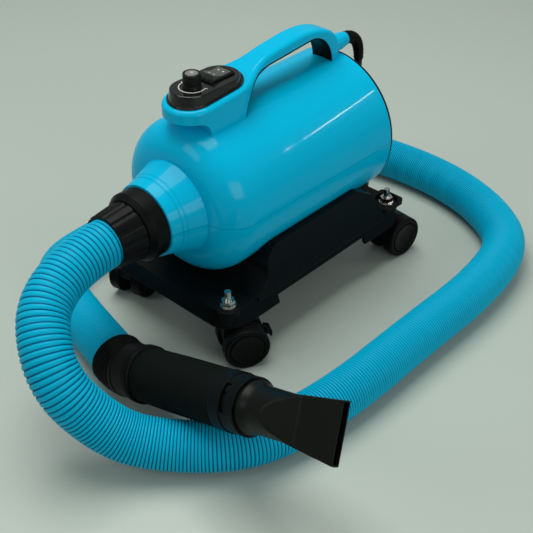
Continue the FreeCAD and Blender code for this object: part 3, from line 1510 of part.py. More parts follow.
def coil_edges():
    edges = []
    quarters = int(COIL_TURNS * 4)
    for i in range(quarters):
        turn = i / 4
        following = (i + 1) / 4
        edges += biarc(coil_place(turn), coil_way(turn), coil_place(following), coil_way(following))
    end = coil_place(COIL_TURNS)
    edges.append(Part.LineSegment(end, end + V(0, -COIL_TAIL, 0)).toShape())
    return edges


def coil_gap(edges):
    """The least gap between the coil's turns, measured on points along it."""
    points = []
    travelled = 0.0
    for edge in edges:
        count = max(2, int(edge.Length / 4))
        for i in range(count):
            value = edge.getParameterByLength(edge.Length * i / count)
            points.append((travelled + edge.Length * i / count, edge.valueAt(value)))
        travelled += edge.Length
    apart = 6 * CORD_R
    least = min(
        (p - q).Length for i, (s, p) in enumerate(points) for r, q in points[:i] if s - r > apart
    )
    return least - 2 * CORD_R


def make_cord():
    route = Route(CORD_POINTS)
    print("power cord radii", [round(r) for r in route.radii], "length", round(route.length))
    edges = coil_edges()
    coil = swept(edges, CORD_R)
    print("coil length", round(sum(e.Length for e in edges)), "least gap", round(coil_gap(edges), 2))

    end = coil_place(COIL_TURNS) + V(0, -COIL_TAIL, 0)
    z = PLUG_HALF + FIT
    x = end.x
    y0 = end.y - TOUCH
    body = block(
        (x - PLUG_HALF_X, x + PLUG_HALF_X),
        (y0 - PLUG_LENGTH, y0 - PLUG_NECK + 2),
        (z - PLUG_HALF, z + PLUG_HALF),
    )
    body = body.makeFillet(5.0, [e for e in body.Edges if e.BoundBox.YLength > 10])
    neck = Part.makeCone(*PLUG_NECK_R, PLUG_NECK, V(x, y0, end.z), V(0, -1, 0))
    pins = []
    for side in (-1, 1):
        pin_x = x + side * PIN_GAP
        pin = block(
            (pin_x - PIN_SIZE[0] / 2, pin_x + PIN_SIZE[0] / 2),
            (y0 - PLUG_LENGTH - PIN_LENGTH, y0 - PLUG_LENGTH + 1),
            (z - PIN_SIZE[1] / 2, z + PIN_SIZE[1] / 2),
        )
        pins.append(pin)
    plug = joined([body, neck] + pins)
    return {"power_cord": route.tube(CORD_R), "cord_coil": coil, "power_plug": plug}


def make_hose():
    route = Route(HOSE_POINTS)
    print("hose radii", [round(r) for r in route.radii], "length", round(route.length))
    return {"air_hose": ribbed(route, HOSE_RIBS, HOSE_R, HOSE_ROOT_R, HOSE_BORE_R)}


def main():
    os.makedirs("parts", exist_ok=True)
    makers = (
        make_shells,
        make_screws,
        make_outlet_ring,
        make_hose_cuff,
        make_intake,
        make_motor_frames,
        make_stator,
        make_rotor,
        make_brushes,
        make_fan_case,
        make_handle,
        make_panel,
        make_knob,
        make_rocker,
        make_board,
        make_gland,
        make_base,
        make_studs,
        make_casters,
        make_wand,
        make_cord,
        make_hose,
    )
    for maker in makers:
        for node, shape in maker().items():
            shape.exportStep("parts/" + node + ".step")
            state = "" if shape.isValid() else " NOT VALID"
            print(node, len(shape.Solids), round(shape.Volume), state)


main()
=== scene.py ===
"""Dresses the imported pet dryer: its finishes, its hose, cord and hand wand, the studio and the camera.

Lengths are in metres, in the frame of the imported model: X along the drum with the air outlet at -X, +Z up,
and the origin on the floor under the middle of the rolling base.
"""

import json
import logging
import math
from bisect import bisect_left
from collections.abc import Callable, Iterable, Sequence
from contextlib import contextmanager
from dataclasses import dataclass
from enum import Enum
from functools import cache, partial
from itertools import product

import bpy
from mathutils import Matrix, Vector


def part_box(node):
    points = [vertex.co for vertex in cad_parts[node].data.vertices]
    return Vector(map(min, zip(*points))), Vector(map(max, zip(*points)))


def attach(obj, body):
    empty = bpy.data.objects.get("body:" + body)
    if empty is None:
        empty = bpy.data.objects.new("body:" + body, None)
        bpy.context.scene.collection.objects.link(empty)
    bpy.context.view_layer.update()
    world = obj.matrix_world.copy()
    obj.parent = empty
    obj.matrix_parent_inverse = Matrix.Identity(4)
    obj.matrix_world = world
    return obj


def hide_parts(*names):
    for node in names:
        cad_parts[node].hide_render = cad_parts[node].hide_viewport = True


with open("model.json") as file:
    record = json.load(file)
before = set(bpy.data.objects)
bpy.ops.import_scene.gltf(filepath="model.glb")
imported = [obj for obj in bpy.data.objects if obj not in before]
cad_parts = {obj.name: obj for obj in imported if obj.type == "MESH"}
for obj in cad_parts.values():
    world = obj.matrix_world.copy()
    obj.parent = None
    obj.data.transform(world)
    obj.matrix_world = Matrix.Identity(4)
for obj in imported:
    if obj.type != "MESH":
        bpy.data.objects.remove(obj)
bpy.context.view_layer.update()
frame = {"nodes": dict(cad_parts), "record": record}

LOG = logging.getLogger("pet_dryer")
Point = tuple[float, float, float]
Spot = tuple[float, float]
Spots = tuple[Spot, ...]
Colour = tuple[float, float, float]
Object = bpy.types.Object
Term = "Signal | float"
DRYER = "dryer"
JOIN = 0.000001
BEFORE_WAND = (-0.2137, 0.0725, 0.0255)
AT_WAND = (-0.237, -0.0205, 0.0325)


# Shader maths


class Signal:
    """A node's output that takes part in arithmetic by adding Math nodes."""

    def __init__(self, graph: "Graph", socket: bpy.types.NodeSocket) -> None:
        """Keeps the socket, and the graph that new nodes join.

        Args:
            graph: The material's graph.
            socket: The output socket that this value comes from.
        """
        self.graph = graph
        self.socket = socket

    def combined(self, operation: str, left: Term, right: Term) -> "Signal":
        """Adds a Math node.

        Args:
            operation: The Math node's operation.
            left: Its first value.
            right: Its second value.

        Returns:
            The node's result.
        """
        return self.graph.value("ShaderNodeMath", {"operation": operation}, {0: left, 1: right})

    def __add__(self, other: Term) -> "Signal":
        """Sum."""
        return self.combined("ADD", self, other)

    def __sub__(self, other: Term) -> "Signal":
        """Difference."""
        return self.combined("SUBTRACT", self, other)

    def __mul__(self, other: Term) -> "Signal":
        """Product."""
        return self.combined("MULTIPLY", self, other)

    def __truediv__(self, other: Term) -> "Signal":
        """Quotient."""
        return self.combined("DIVIDE", self, other)

    def above(self, level: float, softness: float) -> "Signal":
        """A mask that rises from 0 to 1 where the value passes a level.

        Args:
            level: Where the mask is a half.
            softness: How far the rise spreads to each side.

        Returns:
            The mask.
        """
        ends = {"From Min": level - softness, "From Max": level + softness}
        return self.graph.value("ShaderNodeMapRange", {"clamp": True}, {"Value": self, **ends})


class Graph:
    """The node tree of one material, with its Principled shader."""

    def __init__(self, name: str) -> None:
        """Makes an empty material.

        Args:
            name: The material's name.
        """
        self.material = bpy.data.materials.new(name)
        self.material.use_nodes = True
        self.tree = self.material.node_tree
        self.shader = self.tree.nodes["Principled BSDF"]

    def feed(self, socket: bpy.types.NodeSocket, value: "Signal | float | Sequence[float]") -> None:
        """Links a value to a socket, or sets the socket's own number or colour.

        Args:
            socket: The socket.
            value: The value, number or colour.
        """
        if isinstance(value, Signal):
            self.tree.links.new(value.socket, socket)
        elif not isinstance(value, (int, float)) and len(value) == 3 and socket.type == "RGBA":
            socket.default_value = (*value, 1.0)
        else:
            socket.default_value = value

    def value(
        self, kind: str, settings: dict | None = None, values: dict | None = None, out: int | str = 0
    ) -> Signal:
        """Adds a node and gives one of its outputs.

        Args:
            kind: The node's type.
            settings: Its settings, set before its sockets.
            values: Values or links of its sockets, by name or number.
            out: The output, by name or number.

        Returns:
            The output.
        """
        node = self.tree.nodes.new(kind)
        for name, setting in (settings or {}).items():
            setattr(node, name, setting)
        for key, value in (values or {}).items():
            self.feed(node.inputs[key], value)
        return Signal(self, node.outputs[out])

    def place(self) -> Signal:
        """The point on the piece, in metres of the object's own frame."""
        return self.value("ShaderNodeTexCoord", out="Object")

    def stretched(self, scale: Point) -> Signal:
        """The point on the piece, stretched along its axes."""
        values = {"Vector": self.place(), "Scale": scale}
        return self.value("ShaderNodeMapping", {}, values)

    def noise(self, size: float, detail: float = 3.0, where: Signal | None = None) -> Signal:
        """Cloudy noise from 0 to 1.

        Args:
            size: The size of its clouds.
            detail: How many finer layers it has.
            where: The coordinates it reads, or None for the piece's own.

        Returns:
            The noise.
        """
        where = where or self.place()
        return self.value("ShaderNodeTexNoise", {}, {"Vector": where, "Scale": 1.0 / size, "Detail": detail})

    def cells(self, size: float) -> Signal:
        """Distance from the middle of the nearest cell, in cells."""
        return self.value("ShaderNodeTexVoronoi", {}, {"Vector": self.place(), "Scale": 1.0 / size})

    def attribute(self, name: str) -> Signal:
        """A number stored on the piece's points."""
        return self.value("ShaderNodeAttribute", {"attribute_name": name}, out="Fac")

    def facing_up(self) -> Signal:
        """How far the surface faces up, from -1 to 1."""
        normal = self.value("ShaderNodeNewGeometry", out="Normal")
        return self.value("ShaderNodeSeparateXYZ", {}, {0: normal}, out="Z")

    def blend(self, mask: Term, first: Signal | Colour, second: Signal | Colour) -> Signal:
        """A colour between two others, by a mask from 0 to 1."""
        settings = {"data_type": "RGBA"}
        return self.value("ShaderNodeMix", settings, {0: mask, 6: first, 7: second}, out=2)

    def surface(self, values: dict) -> None:
        """Feeds some of the shader's inputs, by their names."""
        for name, value in values.items():
            self.feed(self.shader.inputs[name], value)

    def bump(self, height: Signal, depth: float, soften: float = 0.0) -> None:
        """Raises the surface.

        Args:
            height: The height, from 0 to 1.
            depth: The height that 1 stands for, in metres.
            soften: The radius that sharp edges seem to have, or 0.
        """
        values = {"Height": height, "Distance": depth, "Strength": 1.0}
        if soften:
            values["Normal"] = self.value("ShaderNodeBevel", {"samples": 6}, {"Radius": soften})
        self.surface({"Normal": self.value("ShaderNodeBump", {}, values)})


# Finishes


DUST = (0.42, 0.41, 0.38)


def shade(colour: Colour, factor: float) -> Colour:
    """A colour made lighter or darker."""
    return tuple(min(1.0, part * factor) for part in colour)


class Grain(Enum):
    """What a surface feels like close up."""

    SMOOTH = "smooth"
    MOULDED = "moulded"
    LEATHERY = "leathery"
    FOAM = "foam"
    BRUSHED = "brushed"


@dataclass(frozen=True)
class Finish:
    """A moulded, cast or turned surface with its colour drift, handling marks, dust and grain.

    The size of a mark is in metres.
    """

    slot: str
    colour: Colour
    roughness: float
    metallic: float = 0.0
    coat: float = 0.0
    coat_roughness: float = 0.06
    drift: float = 0.05
    drift_size: float = 0.04
    smear: float = 0.06
    dust: float = 0.0
    grain: Grain = Grain.SMOOTH
    grain_size: float = 0.0008
    grain_depth: float = 0.00003
    specular: float = 0.5
    soften: float = 0.0

    def drifted(self, graph: Graph) -> Signal:
        """The colour, a little lighter and darker in clouds."""
        clouds = graph.noise(self.drift_size)
        return graph.blend(clouds, shade(self.colour, 1 - self.drift), shade(self.colour, 1 + self.drift))

    @cache
    def material(self) -> bpy.types.Material:
        """Builds the finish's material, once.

        Returns:
            The material, the same one each time.
        """
        graph = Graph(self.slot)
        colour = self.drifted(graph)
        if self.dust:
            settled = graph.facing_up().above(0.55, 0.4) * graph.noise(0.02, 6.0).above(0.5, 0.25)
            colour = graph.blend(settled * self.dust, colour, DUST)
        marks = graph.noise(self.drift_size * 0.35, 5.0, graph.stretched((1.0, 1.0, 3.0)))
        values = {
            "Base Color": colour,
            "Roughness": (marks - 0.5) * (2 * self.smear) + self.roughness,
            "Metallic": self.metallic,
            "Coat Weight": self.coat,
            "Coat Roughness": self.coat_roughness,
            "Specular IOR Level": self.specular,
        }
        graph.surface(values)
        self.roughen(graph)
        return graph.material

    def roughen(self, graph: Graph) -> None:
        """Adds the grain's bump.

        Args:
            graph: The material's graph.
        """
        if self.grain is Grain.SMOOTH:
            graph.bump(graph.noise(0.012, 2.0), 0.00004, self.soften)
        elif self.grain is Grain.MOULDED:
            graph.bump(graph.noise(self.grain_size, 4.0), self.grain_depth, self.soften)
        elif self.grain is Grain.LEATHERY:
            pores = graph.cells(self.grain_size) * 0.7 + graph.noise(self.grain_size, 3.0) * 0.3
            graph.bump(pores, self.grain_depth)
        elif self.grain is Grain.FOAM:
            graph.bump(graph.cells(self.grain_size).above(0.35, 0.3), self.grain_depth)
        else:
            lines = graph.noise(self.grain_size, 4.0, graph.stretched((0.04, 1.0, 1.0)))
            graph.bump(lines, self.grain_depth)


@dataclass(frozen=True)
class RibbedSkin(Finish):
    """The hose's skin: bright crests, and grooves painted dark as painted shade.

    It reads the piece's own depth attribute, 0 on a crest and 1 at the bottom of a groove.
    """

    # Painted shade: the dark colour painted into the grooves.
    groove: Colour = (0.0, 0.06, 0.17)

    @cache
    def material(self) -> bpy.types.Material:
        """Builds the skin's material, once.

        Returns:
            The material.
        """
        graph = Graph(self.slot)
        depth = graph.attribute("depth")
        wear = (graph.noise(0.01) - 0.5) * 0.1
        values = {
            # Painted shade: the depth attribute blends the grooves towards the dark groove colour.
            "Base Color": graph.blend(depth.above(0.62, 0.3), self.drifted(graph), self.groove),
            "Roughness": depth * 0.25 + wear + self.roughness,
            "Specular IOR Level": self.specular,
        }
        graph.surface(values)
        graph.bump(graph.noise(0.0015, 3.0), 0.00003)
        return graph.material


@dataclass(frozen=True)
class Banded(Finish):
    """A stack of sheets, or turns of wire, that shows as fine bands across one axis."""

    band: float = 0.0006
    axis: int = 0
    gap: Colour = (0.05, 0.05, 0.05)

    @cache
    def material(self) -> bpy.types.Material:
        """Builds the banded material, once.

        Returns:
            The material.
        """
        graph = Graph(self.slot)
        part = graph.value("ShaderNodeSeparateXYZ", {}, {0: graph.place()}, out=self.axis)
        half = self.band / 2
        wave = part.combined("PINGPONG", part, half) / half
        values = {
            "Base Color": graph.blend(wave.above(0.2, 0.15), self.gap, self.colour),
            "Roughness": graph.noise(0.01) * 0.15 + self.roughness,
            "Metallic": self.metallic,
        }
        graph.surface(values)
        graph.bump(wave, self.band * 0.3)
        return graph.material


moulded = partial(Finish, grain=Grain.MOULDED)
metal = partial(Finish, metallic=1.0, grain=Grain.BRUSHED)

BODY_GLOSS = Finish(
    "body_blue",
    (0.0, 0.43, 0.68),
    0.25,
    coat=0.2,
    coat_roughness=0.02,
    drift=0.02,
    drift_size=0.12,
    smear=0.03,
    specular=0.02,
)
BLACK_SATIN = moulded(
    "black_plastic", (0.0025, 0.0035, 0.0035), 0.36, dust=0.006, grain_size=0.0007, specular=0.09, soften=0.0012
)
PANEL_GLOSS = Finish(
    "panel_black", (0.003, 0.004, 0.004), 0.1, coat=0.4, dust=0.01, smear=0.03, specular=0.3, soften=0.0008
)
KNOB_MATT = moulded("knob_black", (0.004, 0.004, 0.004), 0.36, dust=0.01, specular=0.22)
CAP_GREY = Finish("knob_grey", (0.2, 0.21, 0.19), 0.25, coat=0.5, grain=Grain.BRUSHED, grain_size=0.0005)
ROCKER_GREY = moulded("rocker_grey", (0.065, 0.075, 0.065), 0.4, specular=0.4)
NOZZLE_BLACK = moulded(
    "nozzle_black", (0.004, 0.005, 0.004), 0.36, drift=0.1, smear=0.08, grain_size=0.0009, specular=0.14
)
BOARD = Finish("board_green", (0.02, 0.12, 0.05), 0.4, drift=0.2, drift_size=0.004)
ZINC = metal("zinc", (0.62, 0.62, 0.58), 0.22, drift=0.12, drift_size=0.004, grain_size=0.0006)
STEEL = metal("steel", (0.5, 0.5, 0.5), 0.3)
CORE = Banded("core_steel", (0.32, 0.32, 0.33), 0.35, metallic=1.0)
COPPER = Banded("copper", (0.62, 0.24, 0.09), 0.3, metallic=1.0, band=0.0009, axis=1, gap=(0.2, 0.06, 0.02))
ALUMINIUM = moulded("aluminium", (0.68, 0.69, 0.7), 0.35, metallic=1.0, grain_size=0.002)
RUBBER = moulded("black_rubber", (0.003, 0.003, 0.003), 0.42, drift=0.15, dust=0.004, specular=0.08)
FILTER = Finish(
    "filter_foam", (0.02, 0.02, 0.02), 0.9, dust=0.3, grain=Grain.FOAM, grain_size=0.0016, grain_depth=0.0008
)
GRIP = Finish(
    "grip_foam",
    (0.004, 0.006, 0.005),
    0.75,
    drift=0.2,
    grain=Grain.LEATHERY,
    grain_size=0.0009,
    grain_depth=0.00012,
    specular=0.05,
)
HOSE_SKIN = RibbedSkin("hose_cyan", (0.0, 0.40, 0.62), 0.4, drift=0.03, specular=0.08)
CORD_BLACK = moulded("cord_black", (0.005, 0.005, 0.006), 0.42, specular=0.3)
PRINT = Finish("knob_grey", (0.55, 0.56, 0.54), 0.5, drift=0.05)

PLASTICS = (BODY_GLOSS, BLACK_SATIN, PANEL_GLOSS, KNOB_MATT, CAP_GREY, ROCKER_GREY, NOZZLE_BLACK, BOARD)
METALS = (ZINC, STEEL, CORE, COPPER, ALUMINIUM)
SOFT = (RUBBER, FILTER, GRIP, HOSE_SKIN, CORD_BLACK)
BY_SLOT = {finish.slot: finish for finish in (*PLASTICS, *METALS, *SOFT)}


def dress_packed() -> None:
    """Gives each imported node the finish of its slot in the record."""
    for part in frame["record"]["subparts"]:
        for slot in frame["nodes"][part["node"]].material_slots:
            slot.material = BY_SLOT[part["material_slot"]].material()


# Modelling by operators


def deselect() -> None:
    """Leaves nothing selected, because an operator acts on all that is."""
    bpy.ops.object.select_all(action="DESELECT")


def pick(*pieces: Object) -> None:
    """Selects some pieces and makes the first one active.

    Args:
        pieces: The pieces.
    """
    deselect()
    for piece in pieces:
        piece.select_set(True)
    bpy.context.view_layer.objects.active = pieces[0]


@contextmanager
def editing(piece: Object) -> Iterable[None]:
    """Opens a piece in edit mode with all of it selected, and closes it again.

    Args:
        piece: The piece.
    """
    pick(piece)
    bpy.ops.object.mode_set(mode="EDIT")
    bpy.ops.mesh.select_all(action="SELECT")
    yield
    bpy.ops.object.mode_set(mode="OBJECT")


def modified(piece: Object, kind: str, **settings: object) -> None:
    """Adds a modifier to a piece and applies it.

    Args:
        piece: The piece.
        kind: The modifier's type.
        settings: Its settings, by name.
    """
    pick(piece)
    modifier = piece.modifiers.new(kind.title(), kind)
    for name, value in settings.items():
        setattr(modifier, name, value)
    bpy.ops.object.modifier_apply(modifier=modifier.name)


def settled(piece: Object, place: Matrix | None = None) -> Object:
    """Moves a piece's place into its mesh.

    Args:
        piece: The piece.
        place: Where it goes first, or None to leave it.

    Returns:
        The piece, with its object at the origin.
    """
    if place is not None:
        piece.matrix_world = place @ piece.matrix_world
    pick(piece)
    bpy.ops.object.transform_apply(location=True, rotation=True, scale=True)
    return piece


def outward(piece: Object) -> None:
    """Merges a piece's doubled points and turns its faces outwards.

    Args:
        piece: The piece.
    """
    with editing(piece):
        bpy.ops.mesh.remove_doubles(threshold=JOIN)
        bpy.ops.mesh.normals_make_consistent(inside=False)


def smoothed(piece: Object, angle: float) -> None:
    """Shades a piece smooth, except over edges sharper than an angle in degrees."""
    pick(piece)
    bpy.ops.object.shade_smooth_by_angle(angle=math.radians(angle))


def dress(piece: Object, finish: Finish) -> None:
    """Gives a piece one finish all over, and reports it.

    Args:
        piece: The piece.
        finish: Its finish.
    """
    piece.data.materials.clear()
    piece.data.materials.append(finish.material())
    LOG.info("%s made", piece.name)


def turned(name: str, profile: Sequence[Spot], sides: int, solid: bool) -> Object:
    """A round piece about Z, grown ring by ring from a circle.

    Args:
        name: The piece's name.
        profile: Radius and height of each ring.
        sides: How many sides a ring has.
        solid: True closes both ends; False leaves rings only, to be closed by the profile itself.

    Returns:
        The piece, with its axis on Z.
    """
    (radius, height), *rest = profile
    deselect()
    fill = "NGON" if solid else "NOTHING"
    bpy.ops.mesh.primitive_circle_add(vertices=sides, radius=radius, fill_type=fill, location=(0, 0, height))
    piece = bpy.context.object
    piece.name = name
    with editing(piece):
        for new_radius, new_height in rest:
            step = {"value": (0, 0, new_height - height)}
            bpy.ops.mesh.extrude_region_move(TRANSFORM_OT_translate=step)
            share = new_radius / radius
            if abs(share - 1) > 1e-6:
                bpy.ops.transform.resize(value=(share, share, 1))
            radius, height = new_radius, new_height
    settled(piece)
    outward(piece)
    return piece


def without(piece: Object, unwanted: Callable[[Vector], bool]) -> None:
    """Deletes faces by their middle points, and closes the holes that they leave.

    Args:
        piece: The piece.
        unwanted: Tells from a face's middle point whether it goes.
    """
    with editing(piece):
        bpy.ops.mesh.select_mode(type="FACE")
        bpy.ops.mesh.select_all(action="DESELECT")
    for face in piece.data.polygons:
        face.select = unwanted(face.center)
    bpy.ops.object.mode_set(mode="EDIT")
    bpy.ops.mesh.delete(type="FACE")
    bpy.ops.mesh.select_all(action="SELECT")
    bpy.ops.mesh.fill_holes(sides=4)
    bpy.ops.mesh.normals_make_consistent(inside=False)
    bpy.ops.mesh.select_mode(type="VERT")
    bpy.ops.object.mode_set(mode="OBJECT")


def between(stops: Spots, place: float) -> float:
    """A value read off straight lines from stop to stop.

    Args:
        stops: Place and value of each stop, in order.
        place: Where to read.

    Returns:
        The value, which is the last stop's own past it.
    """
    for (start, first), (end, second) in zip(stops, stops[1:]):
        if place < end:
            return first + (second - first) * (place - start) / (end - start)
    return stops[-1][1]


def bow(start: Spot, middle: Spot, end: Spot, steps: int) -> list[Spot]:
    """Points of an arc through three points in a plane.

    Args:
        start: The arc's first point, which isn't given back.
        middle: A point on the arc.
        end: Its last point.
        steps: How many points there are.

    Returns:
        The points.
    """
    (ax, ay), (bx, by), (cx, cy) = start, middle, end
    cross = 2 * (ax * (by - cy) + bx * (cy - ay) + cx * (ay - by))
    a2, b2, c2 = ax * ax + ay * ay, bx * bx + by * by, cx * cx + cy * cy
    x = (a2 * (by - cy) + b2 * (cy - ay) + c2 * (ay - by)) / cross
    y = (a2 * (cx - bx) + b2 * (ax - cx) + c2 * (bx - ax)) / cross
    radius = math.hypot(ax - x, ay - y)
    first = math.atan2(ay - y, ax - x)
    turn = math.remainder(math.atan2(cy - y, cx - x) - first, 2 * math.pi)
    angles = [first + turn * (i + 1) / steps for i in range(steps)]
    return [(x + radius * math.cos(angle), y + radius * math.sin(angle)) for angle in angles]


def linked(name: str, data: bpy.types.ID) -> Object:
    """A new object in the scene.

    Args:
        name: Its name.
        data: Its mesh, curve, lamp or camera.

    Returns:
        The object.
    """
    thing = bpy.data.objects.new(name, data)
    bpy.context.scene.collection.objects.link(thing)
    return thing


def smooth_line(name: str, points: Sequence[Point], resolution: int) -> Object:
    """A NURBS line with the given control points.

    Args:
        name: The curve's name.
        points: The control points.
        resolution: How many steps it has between two of them.

    Returns:
        The curve's object.
    """
    curve = bpy.data.curves.new(name, "CURVE")
    curve.dimensions = "3D"
    curve.resolution_u = resolution
    spline = curve.splines.new("NURBS")
    spline.points.add(len(points) - 1)
    for target, point in zip(spline.points, points):
        target.co = (*point, 1.0)
    spline.order_u = 3
    spline.use_endpoint_u = True
    return linked(name, curve)


def bent(piece: Object, line: Object) -> None:
    """Bends a piece that was made along +Z over a line, and does away with the line.

    Args:
        piece: The piece.
        line: The curve that it follows.
    """
    modified(piece, "CURVE", object=line, deform_axis="POS_Z")
    bpy.data.objects.remove(line)
    settled(piece)
    outward(piece)


def ribs(form: Sequence[Spot], count: int, pitch: float, start: float, end: float) -> list[Spot]:
    """The outer profile of a ribbed tube, which may taper.

    Args:
        form: The rings of one rib: how far each lies inside the crest, and its place in shares of the pitch.
        count: How many ribs the tube has.
        pitch: The length of a rib.
        start: The crest's radius at the tube's start.
        end: The radius that it tapers to at its end.

    Returns:
        Radius and height of each ring.
    """
    return [
        (start + (end - start) * rib / count - inset, (rib + share) * pitch)
        for rib in range(count)
        for inset, share in form
    ]


class Path:
    """A drawn line, read by distance along it."""

    def __init__(self, line: Object) -> None:
        """Reads and measures the line.

        Args:
            line: A curve with no bevel.
        """
        mesh = bpy.data.meshes.new_from_object(line)
        self.points = [point.co.copy() for point in mesh.vertices]
        bpy.data.meshes.remove(mesh)
        self.marks = [0.0]
        for before, after in zip(self.points, self.points[1:]):
            self.marks.append(self.marks[-1] + (after - before).length)
        self.length = self.marks[-1]

    def at(self, distance: float) -> tuple[Vector, Vector]:
        """The place and direction at a distance.

        Args:
            distance: How far along.

        Returns:
            The point and the direction.
        """
        index = min(max(bisect_left(self.marks, distance) - 1, 0), len(self.points) - 2)
        start, end = self.points[index : index + 2]
        share = (distance - self.marks[index]) / (self.marks[index + 1] - self.marks[index])
        return start.lerp(end, share), (end - start).normalized()


# The studio


@dataclass
class Studio:
    """The camera where the photograph was taken, soft lamps and a plain pale floor."""

    azimuth: float = -47.07
    elevation: float = 36.43
    roll: float = -0.22
    distance: float = 1.23765
    target: Point = (0.00523, -0.00555, 0.00978)
    lens: float = 70.63
    sensor: float = 36.0
    floor_size: float = 12.0
    floor_colour: Colour = (0.44, 0.51, 0.455)
    floor_roughness: float = 0.35
    aim: Point = (0.0, 0.0, 0.1)
    white: Colour = (1.0, 0.98, 0.95)
    sky: Colour = (0.86, 0.9, 0.9)
    sky_strength: float = 0.3

    def build(self) -> None:
        """Makes the camera, the lamps, the world and the floor."""
        self.camera()
        self.lamps()
        self.floor()

    def camera(self) -> None:
        """Sets the camera at the photograph's place and angle."""
        azimuth, elevation = math.radians(self.azimuth), math.radians(self.elevation)
        level = math.cos(elevation)
        back = Vector((math.sin(azimuth) * level, -math.cos(azimuth) * level, math.sin(elevation)))
        data = bpy.data.cameras.new("photo_camera")
        data.lens = self.lens
        data.sensor_width = self.sensor
        data.clip_start, data.clip_end = 0.01, 50.0
        camera = linked("photo_camera", data)
        turn = (-back).to_track_quat("-Z", "Y").to_matrix().to_4x4()
        place = Matrix.Translation(Vector(self.target) + back * self.distance)
        camera.matrix_world = place @ turn @ Matrix.Rotation(math.radians(self.roll), 4, "Z")
        bpy.context.scene.camera = camera

    def lamp(
        self, name: str, place: Point, aim: Point, size: Spot, power: float, across: Point | None = None
    ) -> None:
        """Hangs a soft rectangular lamp.

        Args:
            name: The lamp's name.
            place: Where it hangs.
            aim: The point it faces.
            size: Its width and height.
            power: Its power in watts.
            across: The direction of its width, or None for a level one.
        """
        data = bpy.data.lights.new(name, "AREA")
        data.shape = "RECTANGLE"
        data.size, data.size_y = size
        data.energy = power
        data.color = self.white
        lamp = linked(name, data)
        way = (Vector(aim) - Vector(place)).normalized()
        side = Vector(across) if across else way.cross(Vector((0, 0, 1)))
        side = (side - way * side.dot(way)).normalized()
        turn = Matrix((side, -way.cross(side), -way)).transposed().to_4x4()
        lamp.matrix_world = Matrix.Translation(place) @ turn

    def lamps(self) -> None:
        """Hangs the lamps and sets the world's even light."""
        self.lamp("overhead", (0.0, 0.35, 1.9), self.aim, (1.4, 1.4), 30.0)
        self.lamp("window", (-1.9, 0.6, 1.5), self.aim, (0.9, 0.9), 6.0)
        self.lamp("fill", (-0.5, -2.2, 0.9), self.aim, (1.6, 0.9), 14.0)
        self.lamp("tube", (1.07, -0.92, 0.89), (0.05, -0.06, 0.2), (0.42, 0.014), 1.2, (-0.26, -0.265, -0.18))
        world = bpy.data.worlds.new("room")
        bpy.context.scene.world = world
        world.use_nodes = True
        background = world.node_tree.nodes["Background"]
        background.inputs["Color"].default_value = (*self.sky, 1.0)
        background.inputs["Strength"].default_value = self.sky_strength

    def floor(self) -> None:
        """Lays the plain pale floor."""
        deselect()
        bpy.ops.mesh.primitive_plane_add(size=self.floor_size, location=(0, 0, 0))
        floor = bpy.context.object
        floor.name = "floor"
        graph = Graph("floor")
        graph.surface({"Base Color": self.floor_colour, "Roughness": self.floor_roughness})
        floor.data.materials.append(graph.material)


# The air hose


